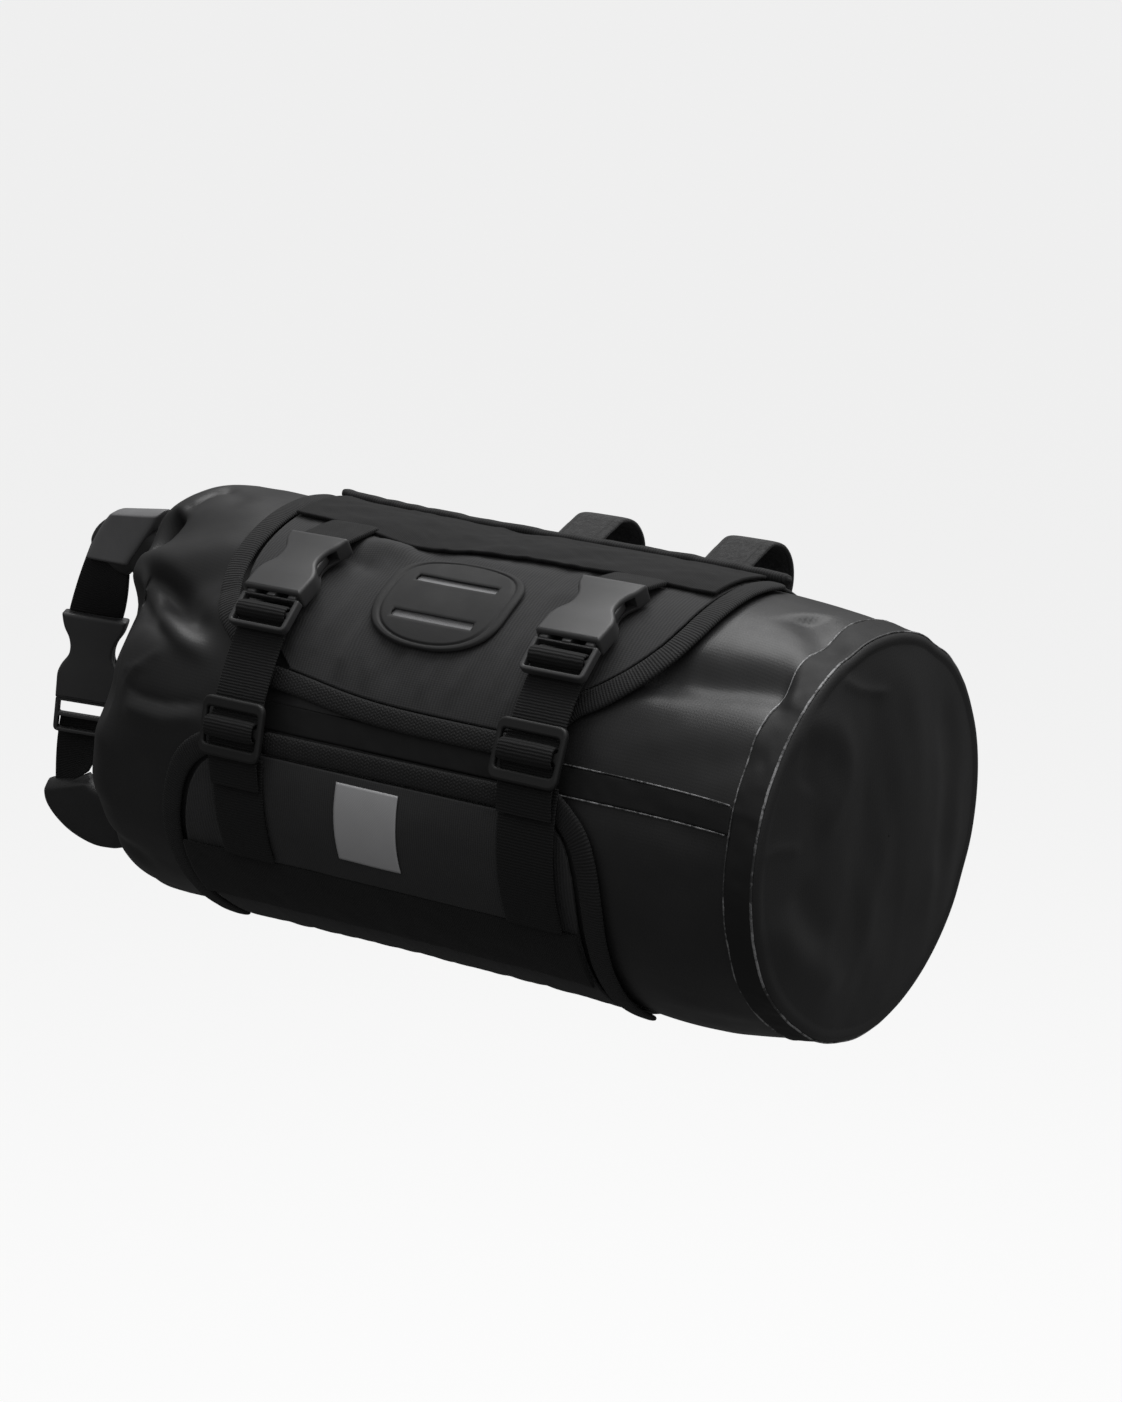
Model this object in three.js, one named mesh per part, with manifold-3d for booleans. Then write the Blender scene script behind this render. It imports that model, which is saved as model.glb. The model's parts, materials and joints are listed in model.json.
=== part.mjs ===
// A roll bag for a bicycle's handlebar: a soft drum of coated cloth with a rolled mouth at one end and
// a flat base at the other, in a cloth harness that hangs from two loops round the handlebar.
//
// Millimetres, +Z up. The origin is on the handlebar's axis, midway between the two loops. +X runs along
// the handlebar towards the drum's base, and -Y is forward, the side with the flap and the pocket.
// Inside the bag's own group a place on the drum is given by two numbers: along, the distance from the
// base towards the mouth, and angle, the degrees round the drum (0 front, 90 top, 180 back, -90 bottom).

import * as THREE from "three";
import { mergeVertices } from "three/addons/utils/BufferGeometryUtils.js";
import Module from "manifold-3d";

const wasm = await Module();
wasm.setup();

// Drum
const drumRadius = 90;
const drumLength = 345;
const neckLength = 60;
const clothThickness = 1.5;
const baseDome = 7;
const baseDents = { count: 3, turn: 40, depth: 0.35 };
const tapeWidth = 12;
const tapeThickness = 0.8;

// Rolled mouth and its closure
const rollWidth = 28;
const rollThickness = 11;
const rollSteps = 26;

// Harness
const harnessMiddle = 175;
const harnessHalfWidth = 127;
const harnessCloth = 1.6;
const bindingWidth = 10;
const bindingThickness = 3;
const hemWidth = 9;
const pocketPuff = 3;
const labelSide = 33;
const labelThickness = 0.5;
const patchWidth = 68;
const patchHeight = 48;
const patchThickness = 2;
const patchRimWidth = 5;
const patchSlotWidth = 44;
const patchSlotHeight = 4;
const patchSlotSpacing = 20;
const patchWebThickness = 0.6;
const topEdgeWidth = 9;
const topEdgeThickness = 5;

// Straps and hardware
const strapWidth = 28;
const strapThickness = 1.6;
const strapSpacing = 152;
const strapsMiddle = 179;
const buckleSide = 2;
const buckleThickness = 9;
const socketLength = 38;
const ladderLength = 17;
const ladderBend = 16;
const buckleRise = 4.4;
const glideSide = 3;
const glideLength = 26;
const glideThickness = 3;
const barThickness = 4;
const tailLength = 12;
const closureSocketLength = 44;
const closureLadderLength = 18;

// Handlebar loops
const handlebarRadius = 15.9;
const handlebarBack = 95;
const handlebarUp = 70;
const loopWidth = 25;
const loopThickness = 2.4;
const loopSpacing = 81;
const loopsMiddle = 159;

// Clearances
const touchGap = 0.3;
const layerGap = 1.1;
const barGap = 0.5;

// Smoothness: degrees round the drum, and the places of its rings as shares of its length
const fullTurn = 360;
const roundStep = 9;
const bodySteps = [0, 0.05, 0.12, 0.2, 0.3, 0.45, 0.6, 0.72, 0.8, 0.87, 0.93, 1.0];

// Layers of the harness, as heights above the drum's cloth
const panelInner = layerGap;
const panelOuter = panelInner + harnessCloth;
const coverInner = panelOuter + layerGap;
const coverOuter = coverInner + harnessCloth;

// Sections of the drum. along is a share of its length, the others are shares of its radius.
const bodySections = [
  { along: 0.0, front: 1.03, top: 0.91, back: 1.0, bottom: 0.97 },
  { along: 0.06, front: 1.02, top: 0.97, back: 1.0, bottom: 1.03 },
  { along: 0.16, front: 1.02, top: 1.01, back: 1.01, bottom: 1.06 },
  { along: 0.3, front: 1.03, top: 1.03, back: 1.02, bottom: 1.03 },
  { along: 0.55, front: 1.04, top: 1.035, back: 1.03, bottom: 1.03 },
  { along: 0.8, front: 1.05, top: 1.06, back: 1.04, bottom: 1.05 },
  { along: 0.92, front: 1.04, top: 1.1, back: 1.04, bottom: 1.07 },
  { along: 1.0, front: 1.01, top: 1.11, back: 1.01, bottom: 1.09 },
];

// Sections of the neck, from the shoulder round the two lobes and back in to the mouth's slit. side is
// the half depth of the front and back lobes, and it, top and bottom are shares of the drum's radius.
// sideOut, topOut and bottomOut say how far out the section lies there, as shares of the neck's length.
const neckSections = [
  { side: 0.95, top: 1.1, bottom: 1.09, sideOut: 0.2, topOut: 0.18, bottomOut: 0.22 },
  { side: 0.84, top: 1.06, bottom: 1.07, sideOut: 0.36, topOut: 0.34, bottomOut: 0.42 },
  { side: 0.68, top: 1.01, bottom: 1.04, sideOut: 0.54, topOut: 0.45, bottomOut: 0.58 },
  { side: 0.52, top: 0.97, bottom: 0.99, sideOut: 0.7, topOut: 0.51, bottomOut: 0.66 },
  { side: 0.36, top: 0.93, bottom: 0.97, sideOut: 0.83, topOut: 0.54, bottomOut: 0.71 },
  { side: 0.23, top: 0.89, bottom: 0.94, sideOut: 0.89, topOut: 0.56, bottomOut: 0.74 },
  { side: 0.13, top: 0.85, bottom: 0.91, sideOut: 0.83, topOut: 0.57, bottomOut: 0.76 },
  { side: 0.063, top: 0.82, bottom: 0.88, sideOut: 0.68, topOut: 0.5, bottomOut: 0.7 },
];
const neckLean = 0.05;

// Hollows of the neck's front lobe, beside the closure's buckle: angle and spread in degrees, and depth back
// from the mouth as a share of the neck's length. They fade out at the shoulder and at the mouth's slit.
const neckHollows = [
  { angle: 34, spread: 22, depth: 0.25 },
  { angle: 8, spread: 14, depth: 0.14 },
];
const hollowFade = { out: 0.6, side: 0.3 };

// Folds and dents of the drum. along is a share of its length; reach and spread, along the fold and
// across it, and depth (inwards) are shares of its radius; angle and turn are degrees.
const folds = [
  { along: 1.03, angle: 63, reach: 0.3, spread: 0.15, turn: -20, depth: 0.24 },
  { along: 0.93, angle: 46, reach: 0.4, spread: 0.13, turn: -32, depth: 0.09 },
  { along: 0.88, angle: 31, reach: 0.35, spread: 0.16, turn: -30, depth: -0.04 },
  { along: 0.89, angle: 12, reach: 0.3, spread: 0.17, turn: 5, depth: -0.025 },
  { along: 0.04, angle: 80, reach: 0.22, spread: 0.14, turn: 25, depth: 0.06 },
  { along: 0.12, angle: 47, reach: 0.4, spread: 0.12, turn: 25, depth: 0.03 },
  { along: 0.03, angle: -50, reach: 0.3, spread: 0.3, turn: 0, depth: 0.03 },
];

// The rolled mouth's middle line: lengths are shares of the drum's radius, out beyond the shoulder and
// up from the drum's axis.
const rollLine = [
  { out: 0.91, up: 0.62 },
  { out: 0.87, up: 0.72 },
  { out: 0.77, up: 0.79 },
  { out: 0.63, up: 0.77 },
  { out: 0.54, up: 0.63 },
  { out: 0.53, up: 0.38 },
  { out: 0.535, up: 0.0 },
  { out: 0.58, up: -0.4 },
  { out: 0.7, up: -0.72 },
  { out: 0.9, up: -0.86 },
  { out: 1.06, up: -0.87 },
  { out: 1.17, up: -0.81 },
  { out: 1.23, up: -0.72 },
];

// The closure's buckle hangs with its plug's lower end here in the same shares. It leans towards the drum
// at its top and its face turns away from the mouth, both in degrees.
const closureBuckle = { out: 1.12, up: -0.42, lean: 8, turn: 30 };

// Outlines of the harness. angle is in degrees, left (towards the mouth) and right are shares of its
// half width, from its middle.
const flapOutline = [
  { angle: 26, left: 0.64, right: 0.58 },
  { angle: 34, left: 0.77, right: 0.67 },
  { angle: 40, left: 0.865, right: 0.77 },
  { angle: 48, left: 0.93, right: 0.86 },
  { angle: 58, left: 0.965, right: 0.92 },
  { angle: 72, left: 0.985, right: 0.945 },
  { angle: 100, left: 1.01, right: 0.95 },
];
const lowerOutline = [
  { angle: -66, left: 1.07, right: 0.78 },
  { angle: -46, left: 1.075, right: 0.79 },
  { angle: -24, left: 1.06, right: 0.815 },
  { angle: -10, left: 1.02, right: 0.825 },
  { angle: 2, left: 0.95, right: 0.8 },
  { angle: 9, left: 0.85, right: 0.745 },
  { angle: 14, left: 0.7, right: 0.66 },
];
const backOutline = [
  { angle: 95, left: 1.005, right: 0.95 },
  { angle: 140, left: 1.01, right: 0.94 },
  { angle: 200, left: 1.04, right: 0.9 },
  { angle: 294, left: 1.07, right: 0.78 },
];

// Seams and edges of the harness, in degrees
const hemAngle = 23.5;
const hemReachAngle = hemAngle + 3;
const seamAngle = 80;
const topBandEnd = 104;
const pocketTop = 14;
const pocketBottom = -21.5;
const lowerBandBottom = -41;
const bottomSeam = -66;
const seamTapeAngle = 2 * roundStep;
const seamTapeEnd = 0.9;

// Pieces sewn to the harness: along and half widths are shares of its half width
const pocketPlace = { left: 0.55, right: 0.53 };
const labelPlace = { along: 0.075, angle: -4 };
const patchPlace = { along: 0.025, angle: 57.3 };

// The straps, in degrees: where the socket meets the plug's ladder, the way that the socket's face looks,
// and the tri-glide's middle
const strapAngles = {
  left: { buckle: 46.3, face: 62, glide: 13.5 },
  right: { buckle: 49.3, face: 65, glide: 22.5 },
};

const radians = THREE.MathUtils.degToRad;
const clamp = THREE.MathUtils.clamp;
const lerp = THREE.MathUtils.lerp;

// Tables and rows of numbers

// A table's row at a place between its rows, on a smooth curve through them.
function rowAt(table, key, at) {
  const last = table.length - 1;
  let start = 0;
  while (start < last - 1 && at > table[start + 1][key]) start += 1;
  const from = table[start];
  const to = table[start + 1];
  const span = to[key] - from[key];
  const t = clamp((at - from[key]) / span, 0, 1);
  const row = {};
  for (const name of Object.keys(from)) {
    const slope = (index) => {
      const before = table[Math.max(index - 1, 0)];
      const after = table[Math.min(index + 1, last)];
      return (after[name] - before[name]) / (after[key] - before[key]);
    };
    const rise = to[name] - from[name];
    const ease = t * t * (3 - 2 * t);
    const startBend = (slope(start) * span) * t * (1 - t) * (1 - t);
    const endBend = (slope(start + 1) * span) * t * t * (1 - t);
    row[name] = from[name] + rise * ease + startBend - endBend;
  }
  return row;
}

function evenly(from, to, steps) {
  return Array.from({ length: steps + 1 }, (_, index) => lerp(from, to, index / steps));
}

// Angles from one to the other, in steps of the drum's own smoothness.
function roundSteps(from, to, step = roundStep) {
  return evenly(from, to, Math.max(1, Math.ceil(Math.abs(to - from) / step - 0.01)));
}

// The drum's shape

// How far an angle is turned from another, the shorter way.
function turnedFrom(start, angle) {
  return THREE.MathUtils.euclideanModulo(angle - start + fullTurn / 2, fullTurn) - fullTurn / 2;
}

function foldDepth(along, angle) {
  let depth = 0;
  for (const fold of folds) {
    const ahead = along - fold.along * drumLength;
    const turned = turnedFrom(fold.angle, angle);
    const around = radians(turned) * drumRadius;
    const cos = Math.cos(radians(fold.turn));
    const sin = Math.sin(radians(fold.turn));
    const lengthways = (ahead * cos + around * sin) / (fold.reach * drumRadius);
    const crossways = (around * cos - ahead * sin) / (fold.spread * drumRadius);
    depth += fold.depth * drumRadius * Math.exp(-(lengthways ** 2) - crossways ** 2);
  }
  return depth;
}

// A point of a section, from its sizes as shares of the drum's radius, sunk by a fold's depth.
function sectionPoint(section, along, angle, sunk) {
  const cos = Math.cos(radians(angle));
  const sin = Math.sin(radians(angle));
  const sideways = (cos > 0 ? section.front : section.back) * drumRadius;
  const upright = (sin > 0 ? section.top : section.bottom) * drumRadius;
  const depth = sunk * Math.min(1, sideways / drumRadius);
  return new THREE.Vector3(-along, -(sideways - depth) * cos, (upright - depth) * sin);
}

// The drum's cloth is straight between rings of points, which lie on its smooth sections.
const roundCount = Math.round(fullTurn / roundStep);
const roundAngles = Array.from({ length: roundCount }, (_, index) => index * roundStep);
function bodyRings(depthAt) {
  return bodySteps.map((share) => {
    const section = rowAt(bodySections, "along", share);
    const along = share * drumLength;
    return roundAngles.map((angle) => sectionPoint(section, along, angle, depthAt(along, angle)));
  });
}
const clothRings = bodyRings(foldDepth);

// The harness follows the drum's bulges and bridges its dents.
const bridgedRings = bodyRings((along, angle) => Math.min(foldDepth(along, angle), 0));

function outwardsAt(angle) {
  return new THREE.Vector3(0, -Math.cos(radians(angle)), Math.sin(radians(angle)));
}

// A point on one of these surfaces, or lift above it. Each four-sided cell is two flat triangles, which meet
// on the diagonal from its first corner.
function onRings(rings, along, angle, lift) {
  const share = clamp(along / drumLength, 0, 1);
  let ring = 0;
  while (ring < bodySteps.length - 2 && share > bodySteps[ring + 1]) ring += 1;
  const t = (share - bodySteps[ring]) / (bodySteps[ring + 1] - bodySteps[ring]);
  const turn = THREE.MathUtils.euclideanModulo(angle, fullTurn) / roundStep;
  const side = Math.floor(turn) % roundCount;
  const next = (side + 1) % roundCount;
  const u = turn - Math.floor(turn);
  const first = rings[ring][side];
  const last = rings[ring + 1][next];
  const between = u >= t ? rings[ring][next] : rings[ring + 1][side];
  const point = new THREE.Vector3()
    .addScaledVector(first, 1 - Math.max(u, t))
    .addScaledVector(between, Math.abs(u - t))
    .addScaledVector(last, Math.min(u, t));
  return point.addScaledVector(outwardsAt(angle), lift);
}

const onDrum = (along, angle, lift = 0) => onRings(clothRings, along, angle, lift);
const onHarness = (along, angle, lift = 0) => onRings(bridgedRings, along, angle, lift);

function neckHollow(row, angle) {
  const fade = Math.min(1, row.sideOut / hollowFade.out) * Math.min(1, row.side / hollowFade.side);
  let depth = 0;
  for (const hollow of neckHollows) {
    depth += hollow.depth * fade * Math.exp(-((turnedFrom(hollow.angle, angle) / hollow.spread) ** 2));
  }
  return depth;
}

function neckPoint(row, angle) {
  const upright = Math.sin(radians(angle)) ** 2;
  const edgeOut = Math.sin(radians(angle)) > 0 ? row.topOut : row.bottomOut;
  const out = lerp(row.sideOut, edgeOut, upright) - neckHollow(row, angle);
  const along = drumLength + out * neckLength;
  const section = { front: row.side, back: row.side, top: row.top, bottom: row.bottom };
  const point = sectionPoint(section, along, angle, foldDepth(along, angle));
  point.x += neckLean * row.sideOut * point.z;
  return point;
}

// Closed bodies

// Gives a closed body faces that point outwards.
function outward(points, faces) {
  let volume = 0;
  for (const [a, b, c] of faces) {
    volume += points[a].dot(points[b].clone().cross(points[c])) / 6;
  }
  const index = volume > 0 ? faces.flat() : faces.map(([a, b, c]) => [a, c, b]).flat();
  const geometry = new THREE.BufferGeometry().setFromPoints(points);
  geometry.setIndex(index);
  geometry.computeVertexNormals();
  return geometry;
}

// A body through rings of points. It ends in flat caps, or else its last ring meets its first one.
function loft(rings, capped = true) {
  const size = rings[0].length;
  const faces = [];
  const count = capped ? rings.length - 1 : rings.length;
  for (let ring = 0; ring < count; ring += 1) {
    const next = (ring + 1) % rings.length;
    for (let side = 0; side < size; side += 1) {
      const a = ring * size + side;
      const b = ring * size + ((side + 1) % size);
      const c = next * size + ((side + 1) % size);
      const d = next * size + side;
      faces.push([a, b, c], [a, c, d]);
    }
  }
  if (capped) {
    const end = (rings.length - 1) * size;
    for (let side = 1; side < size - 1; side += 1) {
      faces.push([0, side + 1, side], [end, end + side, end + side + 1]);
    }
  }
  return outward(rings.flat(), faces);
}

// A thick sheet over a grid. place(u, v, side) gives the point of its inner (0) or outer (1) face, and
// keep(column, row) says whether a cell is cloth or a hole.
function sheet(columns, rows, place, keep = () => true) {
  const across = columns.length;
  const points = [];
  for (const side of [0, 1]) {
    for (const v of rows) {
      for (const u of columns) points.push(place(u, v, side));
    }
  }
  const id = (column, row, side) => (side * rows.length + row) * across + column;
  const isCloth = (column, row) =>
    column >= 0 && row >= 0 && column < across - 1 && row < rows.length - 1 && keep(column, row);
  const faces = [];
  const quad = (a, b, c, d) => faces.push([a, b, c], [a, c, d]);
  for (let row = 0; row < rows.length - 1; row += 1) {
    for (let column = 0; column < across - 1; column += 1) {
      if (!isCloth(column, row)) continue;
      const corners = (side) => [
        id(column, row, side),
        id(column + 1, row, side),
        id(column + 1, row + 1, side),
        id(column, row + 1, side),
      ];
      const inner = corners(0);
      const outer = corners(1);
      quad(outer[0], outer[1], outer[2], outer[3]);
      quad(inner[3], inner[2], inner[1], inner[0]);
      const beside = [[0, -1], [1, 0], [0, 1], [-1, 0]];
      beside.forEach(([right, up], edge) => {
        if (isCloth(column + right, row + up)) return;
        const next = (edge + 1) % 4;
        quad(inner[edge], inner[next], outer[next], outer[edge]);
      });
    }
  }
  const used = [...new Set(faces.flat())];
  const renumbered = new Map(used.map((point, index) => [point, index]));
  return outward(
    used.map((point) => points[point]),
    faces.map((face) => face.map((point) => renumbered.get(point))),
  );
}

// The outline of a flat oval: across as a share of its width, up as a share of its thickness.
const flatOval = [
  [-0.5, 0.5], [-0.36, 0.9], [0, 1], [0.36, 0.9], [0.5, 0.5], [0.36, 0.1], [0, 0], [-0.36, 0.1],
];

// A flat oval cord laid on the drum along a line of { along, angle }.
function cordOnDrum(line, width, thickness, lift, steps) {
  const flat = line.map((at) => new THREE.Vector3(at.along, radians(at.angle) * drumRadius, 0));
  const curve = new THREE.CatmullRomCurve3(flat, false, "centripetal");
  const rings = evenly(0, 1, steps).map((t) => {
    const at = curve.getPointAt(t);
    const tangent = curve.getTangentAt(t);
    return flatOval.map(([across, up]) => {
      const along = at.x - tangent.y * across * width;
      const angle = THREE.MathUtils.radToDeg((at.y + tangent.x * across * width) / drumRadius);
      return onHarness(along, angle, lift + up * thickness);
    });
  });
  return loft(rings);
}

// A flat band of which every section is level in X, round a curve in the YZ plane.
function ribbon(curve, x, width, thickness, steps) {
  const rings = evenly(0, 1, steps).map((t) => {
    const at = curve.getPointAt(t);
    const tangent = curve.getTangentAt(t);
    const normal = new THREE.Vector3(0, -tangent.z, tangent.y);
    const corner = (sideways, out) => {
      const point = at.clone().addScaledVector(normal, out * thickness / 2);
      point.x = x + sideways * width / 2;
      return point;
    };
    return [corner(-1, -1), corner(1, -1), corner(1, 1), corner(-1, 1)];
  });
  return loft(rings);
}

// Cuts and joins

function solidOf(geometry) {
  const bare = new THREE.BufferGeometry();
  bare.setAttribute("position", geometry.getAttribute("position").clone());
  if (geometry.index) bare.setIndex(geometry.index.clone());
  const merged = mergeVertices(bare);
  return new wasm.Manifold(new wasm.Mesh({
    numProp: 3,
    vertProperties: new Float32Array(merged.getAttribute("position").array),
    triVerts: new Uint32Array(merged.index.array),
  }));
}

function geometryOf(solid) {
  const mesh = solid.getMesh();
  const geometry = new THREE.BufferGeometry();
  geometry.setAttribute("position", new THREE.BufferAttribute(new Float32Array(mesh.vertProperties), 3));
  geometry.setIndex(new THREE.BufferAttribute(new Uint32Array(mesh.triVerts), 1));
  geometry.computeVertexNormals();
  return geometry;
}

function extruded(shape, thickness) {
  const geometry = new THREE.ExtrudeGeometry(shape, { depth: thickness, bevelEnabled: false });
  geometry.translate(0, 0, -thickness / 2);
  return geometry;
}

const cornerSteps = 3;

function roundedBox(halfWidth, bottom, top, radius) {
  const shape = new THREE.Shape();
  shape.moveTo(-halfWidth + radius, bottom);
  shape.lineTo(halfWidth - radius, bottom);
  shape.quadraticCurveTo(halfWidth, bottom, halfWidth, bottom + radius);
  shape.lineTo(halfWidth, top - radius);
  shape.quadraticCurveTo(halfWidth, top, halfWidth - radius, top);
  shape.lineTo(-halfWidth + radius, top);
  shape.quadraticCurveTo(-halfWidth, top, -halfWidth, top - radius);
  shape.lineTo(-halfWidth, bottom + radius);
  shape.quadraticCurveTo(-halfWidth, bottom, -halfWidth + radius, bottom);
  return new THREE.Shape(shape.getPoints(cornerSteps).slice(0, -1));
}

function slot(halfWidth, bottom, top) {
  const hole = new THREE.Path();
  hole.moveTo(-halfWidth, bottom);
  hole.lineTo(-halfWidth, top);
  hole.lineTo(halfWidth, top);
  hole.lineTo(halfWidth, bottom);
  return hole;
}

// Materials

function cloth(colour, roughness) {
  return new THREE.MeshStandardMaterial({ color: colour, roughness, metalness: 0 });
}

const materials = {
  coatedCloth: cloth(0x1b1b1c, 0.42),
  tape: cloth(0x161617, 0.5),
  ripstop: cloth(0x121213, 0.75),
  binding: cloth(0x0e0e0f, 0.9),
  webbing: cloth(0x0f0f10, 0.8),
  hookLoop: cloth(0x19191a, 0.95),
  buckle: cloth(0x2a2a2b, 0.45),
  rubber: cloth(0x1d1d1e, 0.6),
  paleWeb: cloth(0x6b6b6c, 0.7),
  reflector: cloth(0x5f5f60, 0.5),
};

const bag = new THREE.Group();
bag.position.set(loopsMiddle, -handlebarBack, -handlebarUp);

function addPiece(name, geometry, material, parent = bag) {
  const mesh = new THREE.Mesh(geometry, material);
  mesh.name = name;
  parent.add(mesh);
  return mesh;
}

// Drum

// The inner face of a wall whose outer face goes through these rings.
function innerFace(rings, thickness) {
  const count = rings[0].length;
  return rings.map((ring, row) => ring.map((point, side) => {
    const before = rings[Math.max(row - 1, 0)][side];
    const after = rings[Math.min(row + 1, rings.length - 1)][side];
    const around = ring[(side + 1) % count].clone().sub(ring[(side + count - 1) % count]);
    const normal = around.cross(after.clone().sub(before)).normalize();
    return point.clone().addScaledVector(normal, -thickness);
  }));
}

function drumTube() {
  const neckRings = neckSections.map((row) => roundAngles.map((angle) => neckPoint(row, angle)));
  const outer = [...clothRings, ...neckRings];
  return loft([...outer, ...innerFace(outer, clothThickness).reverse()], false);
}

function drumBase() {
  const shares = [0.02, 0.4, 0.75, 0.95, 1];
  const face = (share, out) => roundAngles.map((angle) => {
    const point = onDrum(0, angle).multiplyScalar(share);
    const wave = baseDents.depth * Math.sin(radians(baseDents.count * angle + baseDents.turn));
    const dent = wave * 4 * share * (1 - share);
    point.x = out + baseDome * (1 - share ** 2) * (1 - dent);
    return point;
  });
  const outer = shares.map((share) => face(share, touchGap + clothThickness));
  const inner = shares.map((share) => face(share, touchGap)).reverse();
  return loft([...outer, ...inner]);
}

// A tape folded over the drum's edge: a flat stretch round the tube and a narrow lip over the base.
function baseTape() {
  const lip = tapeWidth / 4;
  const faceOut = touchGap + clothThickness + layerGap;
  const lipDome = 2 * baseDome * lip / drumRadius;
  const profile = [
    { along: tapeWidth, lift: layerGap },
    { along: tapeWidth, lift: layerGap + tapeThickness },
    { along: -faceOut - tapeThickness, lift: layerGap + tapeThickness },
    { along: -faceOut - tapeThickness - lipDome, lift: -lip },
    { along: -faceOut - lipDome, lift: -lip },
    { along: -faceOut, lift: layerGap },
  ];
  const rings = profile.map(({ along, lift }) => roundAngles.map((angle) => {
    const point = onDrum(Math.max(along, 0), angle, lift);
    point.x = -along;
    return point;
  }));
  return loft(rings, false);
}

function seamTape() {
  const half = THREE.MathUtils.radToDeg(tapeWidth / 2 / drumRadius);
  const start = (tapeWidth + touchGap) / drumLength;
  const between = bodySteps.filter((share) => share > start && share < seamTapeEnd);
  const shares = [start, ...between, seamTapeEnd];
  const place = (share, v, side) =>
    onDrum(share * drumLength, seamTapeAngle + v * half, side ? layerGap - touchGap : 1.5 * touchGap);
  return sheet(shares, [-1, 0, 1], place);
}

// Rolled mouth

function inEndPlane({ out, up }) {
  return new THREE.Vector3(-(drumLength + out * drumRadius), 0, up * drumRadius);
}

const rollCurve = new THREE.CatmullRomCurve3(rollLine.map(inEndPlane), false, "centripetal");

function rollTop() {
  const rings = evenly(0, 1, rollSteps).map((t) => {
    const at = rollCurve.getPointAt(t);
    const tangent = rollCurve.getTangentAt(t);
    const sideways = new THREE.Vector3(-tangent.z, 0, tangent.x);
    return flatOval.map(([across, up]) => {
      const point = at.clone().addScaledVector(sideways, across * rollWidth);
      point.y += (up - 0.5) * rollThickness;
      return point;
    });
  });
  return loft(rings);
}

// Side-release buckle: local X across, Y towards the socket's webbing, Z out of the face. The socket's
// lower edge is at y = 0, and the plug's ladder hangs below it, bent inwards by some degrees.

const buckleWidth = strapWidth + 2 * buckleSide;
const prongWidth = buckleWidth * 0.14;
const cavityThickness = buckleThickness * 0.55;
const scallopDepth = buckleWidth * 0.17;
const ladderThickness = buckleThickness * 0.45;
const ladderRail = 2;

function socket(length) {
  const half = buckleWidth / 2;
  const edge = [
    [half, 0], [half, 0.32], [half - scallopDepth * 0.35, 0.42], [half - scallopDepth, 0.55],
    [half - scallopDepth, 0.66], [half - scallopDepth * 0.5, 0.78], [half - scallopDepth * 0.35, 0.92],
    [half, 1],
  ];
  const shape = new THREE.Shape();
  shape.moveTo(-half, 0);
  for (const [x, share] of edge) shape.lineTo(x, share * length);
  for (const [x, share] of [...edge].reverse().slice(0, -1)) shape.lineTo(-x, share * length);
  const body = solidOf(extruded(shape, buckleThickness));
  const inner = new THREE.BoxGeometry(buckleWidth - 2 * buckleSide, length * 0.84, cavityThickness);
  inner.translate(0, length * 0.42 - touchGap, 0);
  return geometryOf(body.subtract(solidOf(inner)));
}

// The ladder's openings, from its lower edge up
function ladderOpening(ladder) {
  return (ladder - 3 * ladderRail) / 2;
}

function plug(length, ladder, bend) {
  const half = buckleWidth / 2;
  const top = -touchGap - (ladderThickness / 2) * Math.sin(radians(bend));
  const opening = ladderOpening(ladder);
  const frame = roundedBox(half, -ladder, top, ladderRail * 0.8);
  const holeHalf = strapWidth / 2 - touchGap;
  for (const from of [-ladder + ladderRail, -ladder + 2 * ladderRail + opening]) {
    frame.holes.push(slot(holeHalf, from, from + opening));
  }
  const reach = length * 0.74;
  const outerSide = buckleWidth / 2 - buckleSide - touchGap;
  const root = top - ladderRail / 2;
  const prong = new THREE.Shape();
  prong.moveTo(outerSide - prongWidth, root);
  prong.lineTo(outerSide, root);
  prong.lineTo(outerSide, length * 0.3);
  prong.lineTo(outerSide - scallopDepth * 0.4, length * 0.46);
  prong.lineTo(outerSide - scallopDepth * 0.5, length * 0.58);
  prong.lineTo(outerSide - prongWidth * 0.7, reach);
  prong.lineTo(outerSide - prongWidth * 1.5, reach);
  const prongThickness = cavityThickness - 2 * touchGap;
  const right = solidOf(extruded(prong, prongThickness));
  const guide = new THREE.BoxGeometry(prongWidth, reach * 0.7, prongThickness);
  guide.translate(0, reach * 0.35 + root, 0);
  const ladderFrame = extruded(frame, ladderThickness).rotateX(radians(bend));
  return geometryOf(
    solidOf(ladderFrame).add(right).add(right.mirror([1, 0, 0])).add(solidOf(guide)),
  );
}

function triGlide() {
  const half = strapWidth / 2 + glideSide;
  const frame = roundedBox(half, -glideLength / 2, glideLength / 2, 4);
  const inner = glideLength / 2 - glideSide;
  frame.holes.push(slot(strapWidth / 2 + touchGap, barThickness / 2, inner));
  frame.holes.push(slot(strapWidth / 2 + touchGap, -inner, -barThickness / 2));
  return extruded(frame, glideThickness);
}

// A group that lies on the drum like a flat piece: X along the drum, Y up round it, Z outwards, the way that
// it faces.
function seatOnDrum(along, angle, lift, face = angle) {
  const seat = new THREE.Group();
  const here = onHarness(along, angle, lift);
  const outwards = outwardsAt(face);
  const across = new THREE.Vector3(1, 0, 0);
  const upwards = outwards.clone().cross(across);
  seat.position.copy(here);
  seat.quaternion.setFromRotationMatrix(new THREE.Matrix4().makeBasis(across, upwards, outwards));
  bag.add(seat);
  return seat;
}

// Harness

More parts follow.
